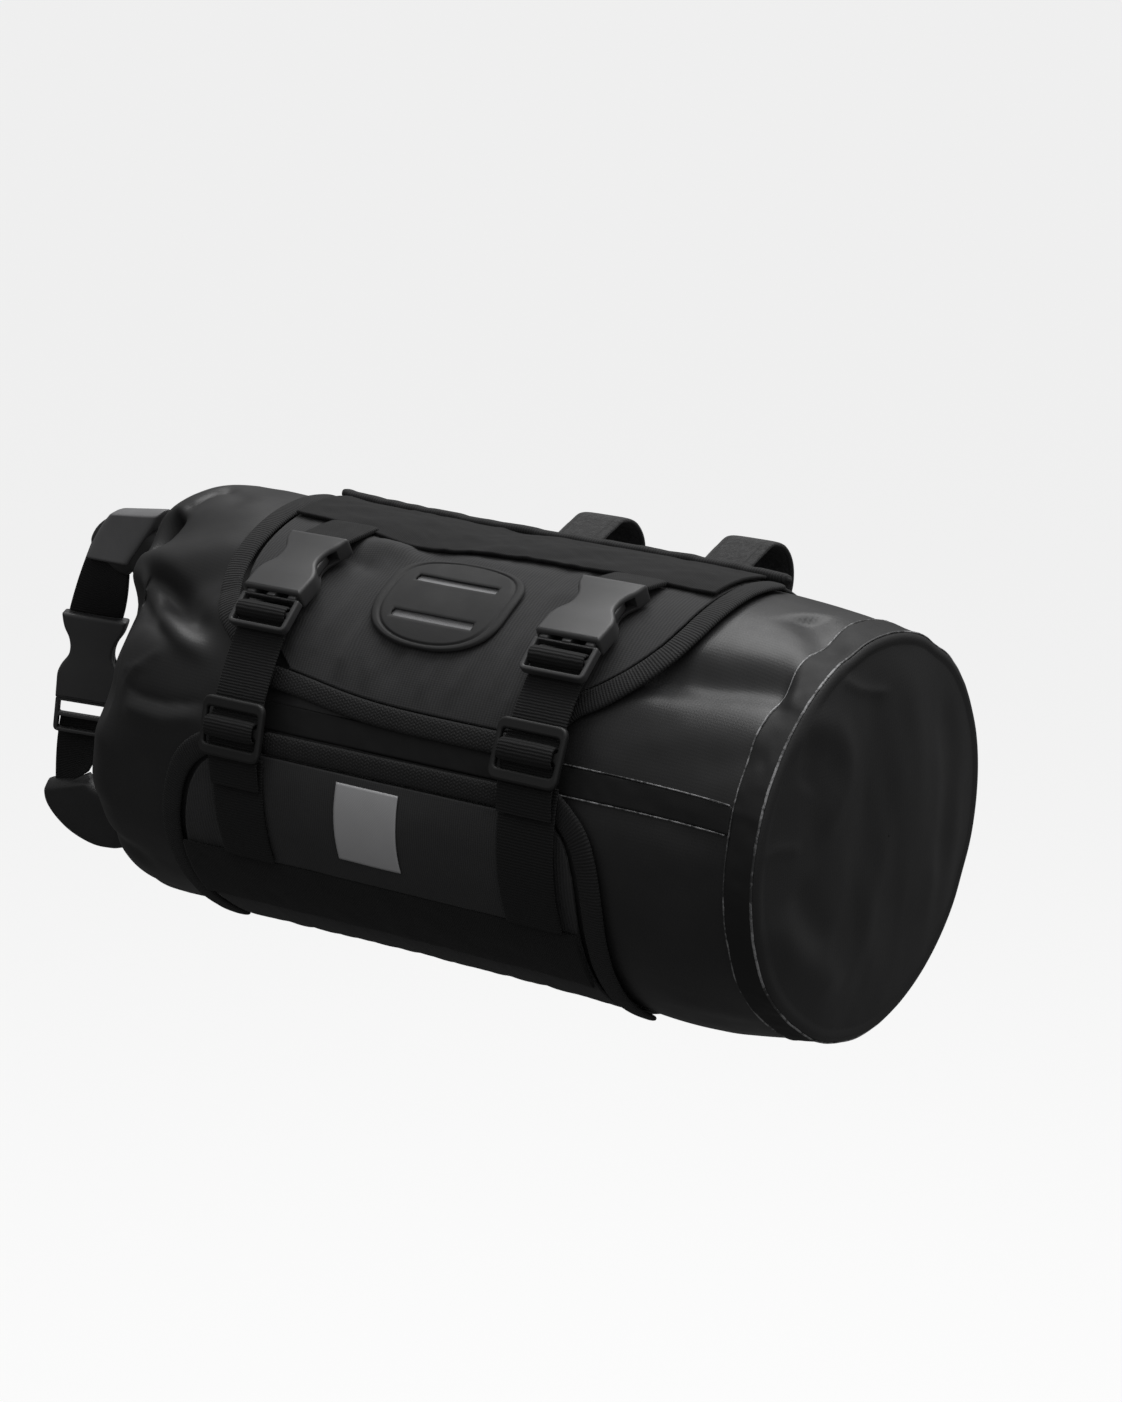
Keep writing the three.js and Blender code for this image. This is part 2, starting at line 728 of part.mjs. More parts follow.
// The place along the drum of an outline's edge, moved in from it by inset, measured across the edge.
function edgeAlong(outline, angle, side, inset) {
  const reach = (at) => rowAt(outline, "angle", at)[side] * harnessHalfWidth;
  const slope = (reach(angle + 1) - reach(angle - 1)) / radians(2) / drumRadius;
  const out = reach(angle) - inset * Math.hypot(1, slope);
  return side === "left" ? harnessMiddle + out : harnessMiddle - out;
}

// A panel between an outline's two edges, from one angle to another.
function panel(outline, from, to, inset, columns, lower, upper, puff = 0) {
  const place = (u, angle, side) => {
    const left = edgeAlong(outline, angle, "left", inset);
    const right = edgeAlong(outline, angle, "right", inset);
    const swell = puff * Math.sin(Math.PI * u) * side;
    return onHarness(lerp(right, left, u), angle, (side ? upper : lower) + swell);
  };
  return sheet(evenly(0, 1, columns), roundSteps(from, to), place);
}

// The binding along one edge of an outline, its outer side on the outline.
function edgeBinding(outline, from, to, side, steps) {
  const line = roundSteps(from, to).map((angle) => ({
    along: edgeAlong(outline, angle, side, bindingWidth / 2),
    angle,
  }));
  return cordOnDrum(line, bindingWidth, bindingThickness, layerGap, steps);
}

function hemLine(outline, angle, inset) {
  const left = edgeAlong(outline, angle, "left", 0) - inset;
  const right = edgeAlong(outline, angle, "right", 0) + inset;
  return evenly(0, 1, 4).map((t) => ({ along: lerp(right, left, t), angle }));
}

function flapHem() {
  const line = hemLine(flapOutline, hemReachAngle, 0).map((at) => ({ along: at.along, angle: hemAngle }));
  return cordOnDrum(line, hemWidth, bindingThickness, layerGap, 8);
}

// Degrees round the drum that a length takes up.
function degreesOf(length) {
  return THREE.MathUtils.radToDeg(length / drumRadius);
}

const pocketLeft = harnessMiddle + pocketPlace.left * harnessHalfWidth;
const pocketRight = harnessMiddle - pocketPlace.right * harnessHalfWidth;
const pocketClothTop = pocketTop - degreesOf(hemWidth + 2 * touchGap);

function pocketLift(along, angle) {
  const u = clamp((along - pocketRight) / (pocketLeft - pocketRight), 0, 1);
  const v = clamp((angle - pocketBottom) / (pocketClothTop - pocketBottom), 0, 1);
  return coverOuter + pocketPuff * Math.sin(Math.PI * u) * Math.sin(Math.PI * v);
}

function pocket() {
  const place = (along, angle, side) =>
    onHarness(along, angle, side ? pocketLift(along, angle) : coverInner);
  const angles = roundSteps(pocketBottom, pocketClothTop, roundStep / 2);
  return sheet(evenly(pocketRight, pocketLeft, 10), angles, place);
}

function pocketBinding() {
  const middle = pocketTop - degreesOf(hemWidth / 2);
  const line = evenly(pocketRight, pocketLeft, 4).map((along) => ({ along, angle: middle }));
  return cordOnDrum(line, hemWidth, bindingThickness, (layerGap + coverInner) / 2, 8);
}

// The raised edge behind the top band.
const topEdgeAngle = topBandEnd + degreesOf(topEdgeWidth / 2 + 2 * touchGap);

function topEdge() {
  return cordOnDrum(hemLine(backOutline, topEdgeAngle, layerGap), topEdgeWidth, topEdgeThickness,
    panelOuter + touchGap, 8);
}

function lowerBand() {
  const top = pocketBottom - degreesOf(touchGap);
  return panel(lowerOutline, lowerBandBottom, top, bindingWidth + 8 * touchGap, 8, coverInner, coverOuter);
}

function reflectiveLabel() {
  const middle = harnessMiddle + labelPlace.along * harnessHalfWidth;
  const half = labelSide / 2;
  const place = (u, v, side) => {
    const along = middle + u * half;
    const angle = labelPlace.angle + degreesOf(v * half) * drumRadius / (drumRadius + coverOuter);
    return onHarness(along, angle, pocketLift(along, angle) + 2 * touchGap + side * labelThickness);
  };
  return sheet(evenly(-1, 1, 3), evenly(-1, 1, 4), place);
}

// The patch is a rounded oval with two level slots over a pale web.
const patchMiddle = harnessMiddle + patchPlace.along * harnessHalfWidth;
const patchWebLift = panelOuter + 2 * touchGap;
const patchLift = patchWebLift + patchWebThickness + 2 * touchGap;

function patchHalfWidth(v) {
  return (patchWidth / 2) * (1 - Math.abs(v) ** 3 * (v > 0 ? 0.42 : 0.56)) ** 0.9;
}

function lightPatch() {
  const slotHalf = patchSlotWidth / 2;
  const slotRows = [-1, 1].flatMap((row) => [-1, 1].map((edge) =>
    (row * patchSlotSpacing + edge * patchSlotHeight) / patchHeight));
  const rows = [-1, -0.86, -0.66, ...slotRows.slice(0, 2), 0, ...slotRows.slice(2), 0.66, 0.86, 1];
  const columns = [-3, -2, -1, 0, 1, 2, 3];
  const place = (column, v, side) => {
    const half = patchHalfWidth(v);
    const inside = Math.min(slotHalf, half - 2 * patchRimWidth);
    const reach = [0, inside, half - patchRimWidth, half][Math.abs(column)];
    const angle = patchPlace.angle + degreesOf(v * patchHeight / 2) * drumRadius / (drumRadius + panelOuter);
    return onHarness(patchMiddle + Math.sign(column) * reach, angle, patchLift + side * patchThickness);
  };
  const isSlot = (column, row) => (row === 3 || row === 6) && column > 1 && column < 4;
  return sheet(columns, rows, place, (column, row) => !isSlot(column, row));
}

function lightPatchWeb() {
  const halfHeight = degreesOf(patchSlotSpacing * 0.8);
  const place = (u, v, side) =>
    onHarness(patchMiddle + u * patchSlotWidth * 0.55, patchPlace.angle + v * halfHeight,
      patchWebLift + side * patchWebThickness);
  return sheet(evenly(-1, 1, 4), evenly(-1, 1, 4), place);
}

// Straps

// A point of a seated flat piece, as a point of the strap that runs through it.
function seatPoint(seat, y, z) {
  seat.updateMatrix();
  const point = new THREE.Vector3(0, y, z).applyMatrix4(seat.matrix);
  point.x = 0;
  return point;
}

function strapPoint(along, angle, lift) {
  const point = onHarness(along, angle, lift);
  point.x = 0;
  return point;
}

function strapThrough(points, along, width, thickness, steps) {
  return ribbon(new THREE.CatmullRomCurve3(points, false, "centripetal"), -along, width, thickness, steps);
}

const buckleLift = panelOuter + layerGap + buckleThickness / 2 + buckleRise;
const lowerStrapLift = coverOuter + 2 * touchGap + strapThickness / 2;
const glideLift = lowerStrapLift + 2 * strapThickness + 3 * touchGap + glideThickness / 2;

// A strap's clearance from a bar that it passes, to its middle
const strapClear = touchGap + strapThickness / 2;

// The places { y, z } of a strap that comes up through one opening, over a bar and down the next.
function overBar(middle, halfBar, halfThick) {
  const beside = halfBar + 1.9 * strapClear;
  const over = halfThick + 1.15 * strapClear;
  const half = [
    { y: beside, z: -0.3 * over },
    { y: beside - 0.1 * strapClear, z: 0.45 * over },
    { y: halfBar + 0.4 * strapClear, z: over },
  ];
  const back = [...half].reverse().map(({ y, z }) => ({ y: -y, z }));
  return [...half, ...back].map(({ y, z }) => ({ y: middle + y, z }));
}

// The strap's way from its end under the buckle, over the ladder's middle bar, through the tri-glide and
// on to the tail.
function strapRoute(side, ladderSeat, glideSeat) {
  const opening = ladderOpening(ladderLength);
  const ladderBar = -ladderLength + 1.5 * ladderRail + opening;
  const ladderUnder = -ladderThickness / 2 - 1.3 * strapClear;
  const ladderEnd = ladderRail + opening;
  const glideUnder = -glideThickness / 2 - 1.2 * strapClear;
  const glideEdge = glideLength / 2;
  const onBuckle = [
    { y: ladderBar + 0.6 * ladderEnd, z: ladderUnder - strapClear },
    ...overBar(ladderBar, ladderRail / 2, ladderThickness / 2),
    { y: ladderBar - 0.8 * ladderEnd, z: ladderUnder },
    { y: ladderBar - ladderEnd - 2 * strapClear, z: ladderUnder - 0.6 * strapClear },
  ];
  const onGlide = [
    { y: glideEdge + 2 * strapClear, z: glideUnder - 0.3 * strapClear },
    { y: glideEdge - glideSide, z: glideUnder },
    ...overBar(0, barThickness / 2, glideThickness / 2),
    { y: -glideEdge + glideSide, z: glideUnder },
    { y: -glideEdge - 2 * strapClear, z: glideUnder - 0.3 * strapClear },
  ];
  const tailAngle = strapAngles[side].glide - degreesOf((glideEdge + tailLength) * 0.9);
  return [
    ...onBuckle.map(({ y, z }) => seatPoint(ladderSeat, y, z)),
    ...onGlide.map(({ y, z }) => seatPoint(glideSeat, y, z)),
    strapPoint(strapAlong[side], tailAngle, lowerStrapLift + strapThickness + 2 * touchGap),
  ];
}

const strapAlong = {
  left: strapsMiddle + strapSpacing / 2,
  right: strapsMiddle - strapSpacing / 2,
};

// The webbing between the seam and the socket, folded double.
function anchor(side, buckleSeat) {
  const along = strapAlong[side];
  const doubled = 2 * strapThickness;
  const lift = panelOuter + touchGap + doubled / 2;
  const points = [
    strapPoint(along, seamAngle - degreesOf(2 * touchGap), lift),
    strapPoint(along, seamAngle - degreesOf(strapThickness), lift + touchGap),
    seatPoint(buckleSeat, socketLength + strapThickness, -touchGap),
    seatPoint(buckleSeat, socketLength + 2 * touchGap, 0),
  ];
  return strapThrough(points, along, strapWidth - 1, doubled, 5);
}

function lowerStrap(side) {
  const along = strapAlong[side];
  const top = strapAngles[side].glide - degreesOf(glideLength * 0.4);
  const angles = roundSteps(pocketBottom + degreesOf(1), top);
  const edges = [along - strapWidth / 2, along + strapWidth / 2];
  const puffAt = (angle) => Math.max(...edges.map((edge) => pocketLift(edge, angle))) - coverOuter;
  const lift = (angle) => lowerStrapLift + puffAt(angle);
  return strapThrough(angles.map((angle) => strapPoint(along, angle, lift(angle))), along, strapWidth,
    strapThickness, angles.length * 2);
}

// Handlebar loops

// A loop is sewn to the harness's back behind the raised edge, goes over and round the handlebar and ends
// lower down on the back. Its stretches on the back, and round the handlebar, go through these angles.
const loopStart = topEdgeAngle + degreesOf(topEdgeWidth);
const loopStartAngles = [loopStart, loopStart + 8, loopStart + 15];
const barAngles = [122, 90, 55, 20, -15, -50, -95];
const loopLanding = [162, 170];
const loopEndAngles = [177, 187];

function handlebarLoop(along) {
  const reach = handlebarRadius + barGap + loopThickness / 2;
  const onBack = (angle, lift) => strapPoint(along, angle, panelOuter + lift + loopThickness / 2);
  const roundBar = (angle) => new THREE.Vector3(
    0,
    handlebarBack + reach * Math.cos(radians(angle)),
    handlebarUp + reach * Math.sin(radians(angle)),
  );
  const points = [
    ...loopStartAngles.map((angle) => onBack(angle, 3 * touchGap)),
    ...barAngles.map(roundBar),
    ...loopLanding.map((angle) => onBack(angle, layerGap)),
    ...loopEndAngles.map((angle) => onBack(angle, 3 * touchGap)),
  ];
  return strapThrough(points, along, loopWidth, loopThickness, 30);
}

// Closure at the rolled mouth

// A doubled strap between two edges, each { middle, across, face }, at least edgeGap from what holds it
// there. It twists evenly from one face's direction to the other's.
const edgeGap = 2 * touchGap;

function closureWebbing(from, to, steps) {
  const half = (strapWidth - 1) / 2;
  const rings = evenly(0, 1, steps).map((t) => {
    const middle = from.middle.clone().lerp(to.middle, t);
    const across = from.across.clone().lerp(to.across, t).normalize();
    const face = from.face.clone().lerp(to.face, t).normalize();
    const corner = (sideways, front) =>
      middle.clone().addScaledVector(across, sideways * half).addScaledVector(face, front * strapThickness);
    return [corner(-1, -1), corner(1, -1), corner(1, 1), corner(-1, 1)];
  });
  return loft(rings);
}

// The closure's buckle hangs at the end plane.
function seatInEndPlane() {
  const seat = new THREE.Group();
  const lean = radians(closureBuckle.lean);
  const turn = radians(closureBuckle.turn);
  const out = new THREE.Vector3(Math.sin(turn), -Math.cos(turn), 0);
  const level = new THREE.Vector3(Math.cos(turn), Math.sin(turn), 0);
  const up = new THREE.Vector3(0, 0, Math.cos(lean)).addScaledVector(level, Math.sin(lean));
  const across = up.clone().cross(out);
  seat.quaternion.setFromRotationMatrix(new THREE.Matrix4().makeBasis(across, up, out));
  seat.position.copy(inEndPlane(closureBuckle)).addScaledVector(up, closureLadderLength);
  seat.updateMatrix();
  bag.add(seat);
  return seat;
}

// The edge where the webbing leaves the buckle, y up from the seat's origin.
function seatEdge(seat, y) {
  const middle = new THREE.Vector3(0, y, 0).applyMatrix4(seat.matrix);
  const across = new THREE.Vector3(1, 0, 0).transformDirection(seat.matrix);
  const face = new THREE.Vector3(0, 0, 1).transformDirection(seat.matrix);
  return { middle, across, face };
}

// The edge where the webbing leaves one end of the roll, 0 the upper one and 1 the lower one.
function rollEdge(end) {
  const tangent = rollCurve.getTangentAt(end);
  const middle = rollCurve.getPointAt(end).addScaledVector(tangent, end === 0 ? -edgeGap : edgeGap);
  const across = new THREE.Vector3(tangent.z, 0, -tangent.x);
  const face = new THREE.Vector3(0, -1, 0);
  return { middle, across, face };
}

// Assembly

addPiece("drum_tube", drumTube(), materials.coatedCloth);
addPiece("drum_base", drumBase(), materials.coatedCloth);
addPiece("base_tape", baseTape(), materials.tape);
addPiece("seam_tape", seamTape(), materials.tape);
addPiece("roll_top", rollTop(), materials.coatedCloth);

const panelInset = bindingWidth + 6 * touchGap;
const flapTop = (seamAngle + topBandEnd) / 2;
const flapBottom = hemAngle + degreesOf(hemWidth / 2 + 2 * touchGap);
const flapBindingEnd = flapBottom + degreesOf(bindingWidth / 2);
const lowerBindingEnd = pocketTop - degreesOf(layerGap);
addPiece("flap", panel(flapOutline, flapBottom, flapTop, panelInset, 10, panelInner, panelOuter),
  materials.ripstop);
addPiece("flap_hem", flapHem(), materials.binding);
for (const side of ["left", "right"]) {
  addPiece(`flap_binding_${side}`, edgeBinding(flapOutline, flapBindingEnd, topBandEnd, side, 14),
    materials.binding);
  addPiece(`lower_binding_${side}`, edgeBinding(lowerOutline, bottomSeam + 1, lowerBindingEnd, side, 14),
    materials.binding);
}
const backStart = flapTop + degreesOf(2 * touchGap);
const backEnd = fullTurn + bottomSeam;
addPiece("harness_back", panel(backOutline, backStart, backEnd, panelInset, 6, panelInner, panelOuter),
  materials.ripstop);
addPiece("top_edge", topEdge(), materials.binding);
addPiece("top_band", panel(flapOutline, seamAngle, topBandEnd, panelInset, 8, coverInner, coverOuter),
  materials.ripstop);
const lowerStart = bottomSeam + 0.5;
const lowerInset = panelInset + 5 * touchGap;
addPiece("lower_panel",
  panel(lowerOutline, lowerStart, pocketClothTop, lowerInset, 8, panelInner, panelOuter), materials.ripstop);
addPiece("lower_band", lowerBand(), materials.ripstop);
addPiece("pocket", pocket(), materials.ripstop);
addPiece("pocket_binding", pocketBinding(), materials.binding);
addPiece("reflective_label", reflectiveLabel(), materials.reflector);
addPiece("light_patch", lightPatch(), materials.rubber);
addPiece("light_patch_web", lightPatchWeb(), materials.paleWeb);

for (const side of ["left", "right"]) {
  const along = strapAlong[side];
  const { buckle, face, glide } = strapAngles[side];
  const buckleSeat = seatOnDrum(along, buckle, buckleLift, face);
  const ladderSeat = seatOnDrum(along, buckle, buckleLift, face - ladderBend);
  const glideSeat = seatOnDrum(along, glide, glideLift);
  addPiece(`anchor_${side}`, anchor(side, buckleSeat), materials.webbing);
  addPiece(`socket_${side}`, socket(socketLength), materials.buckle, buckleSeat);
  addPiece(`plug_${side}`, plug(socketLength, ladderLength, ladderBend), materials.buckle, buckleSeat);
  addPiece(`tri_glide_${side}`, triGlide(), materials.buckle, glideSeat);
  addPiece(`strap_${side}`,
    strapThrough(strapRoute(side, ladderSeat, glideSeat), along, strapWidth - 1, strapThickness, 40),
    materials.webbing);
  addPiece(`lower_strap_${side}`, lowerStrap(side), materials.webbing);
}

for (const [side, place] of [["left", 0.5], ["right", -0.5]]) {
  addPiece(`handlebar_loop_${side}`, handlebarLoop(loopsMiddle + place * loopSpacing), materials.hookLoop);
}

const closureSeat = seatInEndPlane();
addPiece("closure_socket", socket(closureSocketLength), materials.buckle, closureSeat);
addPiece("closure_plug", plug(closureSocketLength, closureLadderLength, 0), materials.buckle, closureSeat);
const buckleTop = seatEdge(closureSeat, closureSocketLength + edgeGap);
const buckleBottom = seatEdge(closureSeat, -closureLadderLength - edgeGap);
addPiece("closure_webbing_upper", closureWebbing(rollEdge(0), buckleTop, 4), materials.webbing);
addPiece("closure_webbing_lower", closureWebbing(buckleBottom, rollEdge(1), 4), materials.webbing);

export default bag;
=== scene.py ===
"""A bicycle handlebar bag: a soft coated drum in a buckled cloth harness, hung from two handlebar loops."""
import itertools
import json
import math

import bmesh
import bpy
import numpy as np
from mathutils import Matrix, Vector

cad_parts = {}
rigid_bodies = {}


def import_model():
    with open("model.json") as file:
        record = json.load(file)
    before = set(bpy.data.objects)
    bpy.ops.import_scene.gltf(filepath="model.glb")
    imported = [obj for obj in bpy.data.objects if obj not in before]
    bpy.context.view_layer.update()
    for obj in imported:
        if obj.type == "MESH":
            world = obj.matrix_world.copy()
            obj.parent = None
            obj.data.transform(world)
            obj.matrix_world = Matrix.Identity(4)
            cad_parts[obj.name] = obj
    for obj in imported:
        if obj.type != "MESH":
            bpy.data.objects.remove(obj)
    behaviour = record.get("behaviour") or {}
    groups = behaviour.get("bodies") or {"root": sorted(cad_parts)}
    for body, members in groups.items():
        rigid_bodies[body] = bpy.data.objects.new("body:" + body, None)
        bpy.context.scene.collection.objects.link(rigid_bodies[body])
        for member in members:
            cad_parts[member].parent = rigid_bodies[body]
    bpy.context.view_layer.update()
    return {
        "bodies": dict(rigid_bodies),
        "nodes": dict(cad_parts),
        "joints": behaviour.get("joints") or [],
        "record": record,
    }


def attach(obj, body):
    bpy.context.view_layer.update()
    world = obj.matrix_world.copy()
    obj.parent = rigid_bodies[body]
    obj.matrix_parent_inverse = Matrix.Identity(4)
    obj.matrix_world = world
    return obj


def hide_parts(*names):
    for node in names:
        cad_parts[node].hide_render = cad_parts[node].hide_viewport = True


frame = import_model()

# Sizes in millimetres, as in the part. A place on the drum is (along, angle): along from the base
# towards the mouth, angle 0 front, 90 top, 180 back, -90 bottom.
ORIGIN = np.array([159.0, -95.0, -70.0])
R, LENGTH, NECK = 90.0, 345.0, 60.0
HARNESS_MIDDLE, HARNESS_HALF = 175.0, 127.0
PANEL, COVER = 2.7, 5.4
STRAP = 28.0

BODY = np.array([
    # along, front, top, back, bottom
    [0.0, 1.03, 0.91, 1.0, 0.97], [0.06, 1.02, 0.97, 1.0, 1.03], [0.16, 1.02, 1.01, 1.01, 1.06],
    [0.3, 1.03, 1.03, 1.02, 1.03], [0.55, 1.04, 1.035, 1.03, 1.03], [0.8, 1.05, 1.06, 1.04, 1.05],
    [0.92, 1.04, 1.1, 1.04, 1.07], [1.0, 1.01, 1.11, 1.01, 1.09]])
NECK_ROWS = np.array([
    # side, top, bottom, side out, top out, bottom out
    [1.01, 1.11, 1.09, 0.0, 0.0, 0.0],
    [0.95, 1.1, 1.09, 0.2, 0.18, 0.22], [0.84, 1.06, 1.07, 0.36, 0.34, 0.42],
    [0.68, 1.01, 1.04, 0.54, 0.45, 0.58], [0.52, 0.97, 0.99, 0.7, 0.51, 0.66],
    [0.36, 0.93, 0.97, 0.83, 0.54, 0.71], [0.23, 0.89, 0.94, 0.89, 0.56, 0.74],
    [0.13, 0.85, 0.91, 0.83, 0.57, 0.76], [0.063, 0.82, 0.88, 0.68, 0.5, 0.7]])
NECK_LEAN = 0.05
# Hollows of the neck's front lobe: angle, spread (degrees), depth (share of the neck's length)
NECK_HOLLOWS = [(34, 22, 0.25), (8, 14, 0.14)]

# Folds: along (share of the length), angle, half length and half width (mm), turn (degrees), depth (mm)
FOLDS = [
    (1.03, 63, 27, 13.5, -20, 8.0), (0.93, 46, 36, 11.7, -32, 8.1), (0.88, 31, 31, 14.4, -30, -3.6),
    (0.89, 12, 27, 15.3, 5, -2.3), (0.03, -50, 27, 27, 0, 2.7),
]
SMALL_FOLDS = [
    (0.12, 14, 30, 8.0, 6, 0.9), (0.07, -20, 22, 8.0, -14, 0.8), (0.1, -44, 24, 8.0, 12, -0.8),
    (0.04, -72, 20, 9.0, 24, 1.2), (0.05, 120, 24, 9.0, -20, 2.0), (0.08, 160, 22, 9.0, 14, 1.6),
    (0.06, 205, 24, 10.0, -14, 2.0), (0.97, 120, 24, 8.0, 30, 3.0), (0.95, 160, 26, 9.0, -20, 3.0),
    (0.97, 200, 24, 8.0, 26, 3.0), (0.96, 245, 26, 9.0, -24, 2.6), (0.98, 285, 22, 8.0, 20, 2.4),
    (0.9, 300, 24, 9.0, 0, 1.5),
]

# Dents of the base end, each a line of (along, angle), a half width, a depth in mm and how steep its
# sides are
BASE_DENTS = [
    ([(6, 58), (18, 56), (30, 54), (43, 52), (58, 51), (80, 51)], 10.0, 5.6, 2),
    ([(4, 43), (16, 40), (30, 37), (48, 34), (70, 28)], 7.0, -0.8, 2),
    ([(32, 88), (20, 82), (8, 75), (0, 71)], 8.5, 3.4, 2),
    ([(2, 36), (14, 34), (34, 27)], 6.0, 0.5, 2),
]

# Creases of the mouth's end, each a line of (place, angle), a half width, a depth in mm and how steep its
# sides are: 1 for a sharp crease, 2 for a soft one, 4 for a pocket. A place is in mm from the base, and
# beyond the shoulder it counts PLACES_PER_ROW for each of the neck's sections.
PLACES_PER_ROW = 10
CREASES = [
    # the pull towards the buckle, and the pocket above it
    ([(364, 46), (359, 38), (356, 30), (354, 22), (354, 12), (356, 0)], 15.0, 8.5, 2),
    ([(359, 53), (359, 59), (357, 66), (352, 74)], 7.0, 13.0, 4),
    # the folds that fan from the pinch: a wide valley, a ridge and a sharp crease
    ([(356, 53), (343, 48), (335, 46), (326, 44), (306, 40), (295, 37), (278, 33)], 6.5, 7.0, 2),
    ([(344, 44), (330, 40), (310, 34), (296, 31), (280, 29)], 4.5, -2.4, 2),
    ([(352, 45), (346, 42), (338, 39), (328, 36), (315, 32), (302, 29)], 3.2, 3.0, 1.3),
    # thin crossing creases
    ([(308, 29), (316, 25), (321, 23), (328, 19), (335, 13)], 1.7, -1.1, 1),
    ([(338, 20), (323, 22), (311, 23)], 1.4, -0.7, 1),
    # the fold above the strap's slide
    ([(334, 18), (326, 16), (318, 15), (306, 15), (293, 16), (277, 18)], 3.0, 2.2, 1),
    ([(334, 11), (318, 11), (303, 11), (289, 13), (277, 15)], 5.0, -2.0, 2),
    # the lip along the top
    ([(354, 73), (348, 78), (346, 84), (344, 94)], 2.6, 2.2, 1),
    ([(352, 92), (338, 88), (322, 82)], 5.0, 1.2, 2),
    ([(374, -14), (350, -14), (325, -18)], 9.0, -1.2, 2),
    ([(375, -34), (352, -34), (330, -40)], 6.0, 1.5, 2),
    ([(378, -54), (356, -56), (335, -62)], 6.0, 2.0, 2),
    # the back's pleats
    ([(380, 140), (358, 138), (330, 132)], 5.0, 4.0, 2), ([(380, 165), (352, 170), (325, 176)], 5.0, 3.4, 2),
    ([(380, 200), (356, 205), (330, 212)], 5.0, 3.6, 2), ([(380, 236), (355, 240), (330, 236)], 6.0, 3.0, 2),
    ([(380, 270), (355, 275), (330, 270)], 6.0, 2.4, 2), ([(380, 112), (356, 112), (332, 108)], 5.0, 2.6, 2),
]


def table_row(table, at):
    """A table's columns at places between its rows, on the same smooth curve as the part's."""
    at = np.asarray(at, float)
    key = table[:, 0]
    i = np.clip(np.searchsorted(key, at, side="right") - 1, 0, len(table) - 2)
    span = key[i + 1] - key[i]
    t = np.clip((at - key[i]) / span, 0, 1)[..., None]
    before = np.maximum(np.arange(len(table)) - 1, 0)
    after = np.minimum(np.arange(len(table)) + 1, len(table) - 1)
    slope = (table[after] - table[before]) / (key[after] - key[before])[:, None]
    a, b = table[i], table[i + 1]
    span = span[..., None]
    level = a + (b - a) * t * t * (3 - 2 * t)
    return level + slope[i] * span * t * (1 - t) ** 2 - slope[i + 1] * span * t * t * (1 - t)


def eased(t):
    return t * t * (3 - 2 * t)


# Large numbers that scatter the noise's lattice, and its range of whole values
SCATTER = (73856093, 19349663, 83492791)
SCATTER_SEED, SCATTER_MIX, SCATTER_BITS = 2654435, 1274126177, 0x7FFFFFFF
NOISE_LEVELS = 65536


def value_noise(p, scale, seed):
    """Smooth noise from -1 to 1 at points p."""
    q = p / scale + seed * 7.13
    i = np.floor(q).astype(np.int64)
    f = eased(q - i)
    total = np.zeros(p.shape[:-1])
    for corner in itertools.product((0, 1), repeat=3):
        h, weight = seed * SCATTER_SEED, 1.0
        for axis, step in enumerate(corner):
            h = h ^ ((i[..., axis] + step) * SCATTER[axis])
            weight = weight * (f[..., axis] if step else 1 - f[..., axis])
        h = (h ^ (h >> 13)) * SCATTER_MIX & SCATTER_BITS
        total += weight * ((h % NOISE_LEVELS) / (NOISE_LEVELS / 2 - 0.5) - 1)
    return total


def bell(ahead, around, reach, spread, turn):
    """A long soft hill, turned by some degrees."""
    c, s = math.cos(math.radians(turn)), math.sin(math.radians(turn))
    return np.exp(-((ahead * c + around * s) / reach) ** 2 - ((around * c - ahead * s) / spread) ** 2)


def fold_depth(along, angle, folds):
    depth = np.zeros(np.broadcast(along, angle).shape)
    for at, place, reach, spread, turn, deep in folds:
        around = np.radians((angle - place + 180) % 360 - 180) * R
        depth = depth + deep * bell(along - at * LENGTH, around, reach, spread, turn)
    return depth


def crease_depth(along, angle, dents):
    """Depth of lines sunk into the unrolled cloth."""
    around = np.radians((angle + 180) % 360 - 180) * R
    depth = np.zeros(np.broadcast(along, angle).shape)
    for line, width, deep, steep in dents:
        path = smooth_line([(at, math.radians(place) * R) for at, place in line], 16)
        best, where = line_gap(np.stack(np.broadcast_arrays(along, around), -1), path)
        depth += deep * np.exp(-(best / width) ** steep) * ends_taper(where, 0.12, 0.3)
    return depth


def line_gap(p, path):
    """Distance of points to a line of points, and the place along it from 0 to 1."""
    best = np.full(p.shape[:-1], 1e9)
    where = np.zeros(p.shape[:-1])
    for i in range(len(path) - 1):
        a, d = path[i], path[i + 1] - path[i]
        t = np.clip(((p - a) @ d) / (d @ d), 0, 1)
        gap = np.linalg.norm(p - a - t[..., None] * d, axis=-1)
        closer = gap < best
        best = np.where(closer, gap, best)
        where = np.where(closer, (i + t) / (len(path) - 1), where)
    return best, where


def ends_taper(where, start, end):
    return eased(np.clip(np.minimum(where / start, (1 - where) / end), 0, 1))


def section(front, top, back, bottom, along, angle, sunk):
    cos, sin = np.cos(np.radians(angle)), np.sin(np.radians(angle))
    sideways = np.where(cos > 0, front, back) * R
    upright = np.where(sin > 0, top, bottom) * R
    deep = sunk * np.minimum(1, sideways / R)
    return np.stack([-along + 0 * cos, -(sideways - deep) * cos, (upright - deep) * sin], -1)


def outwards(angle):
    a = np.radians(angle)
    return np.stack([0 * a, -np.cos(a), np.sin(a)], -1)


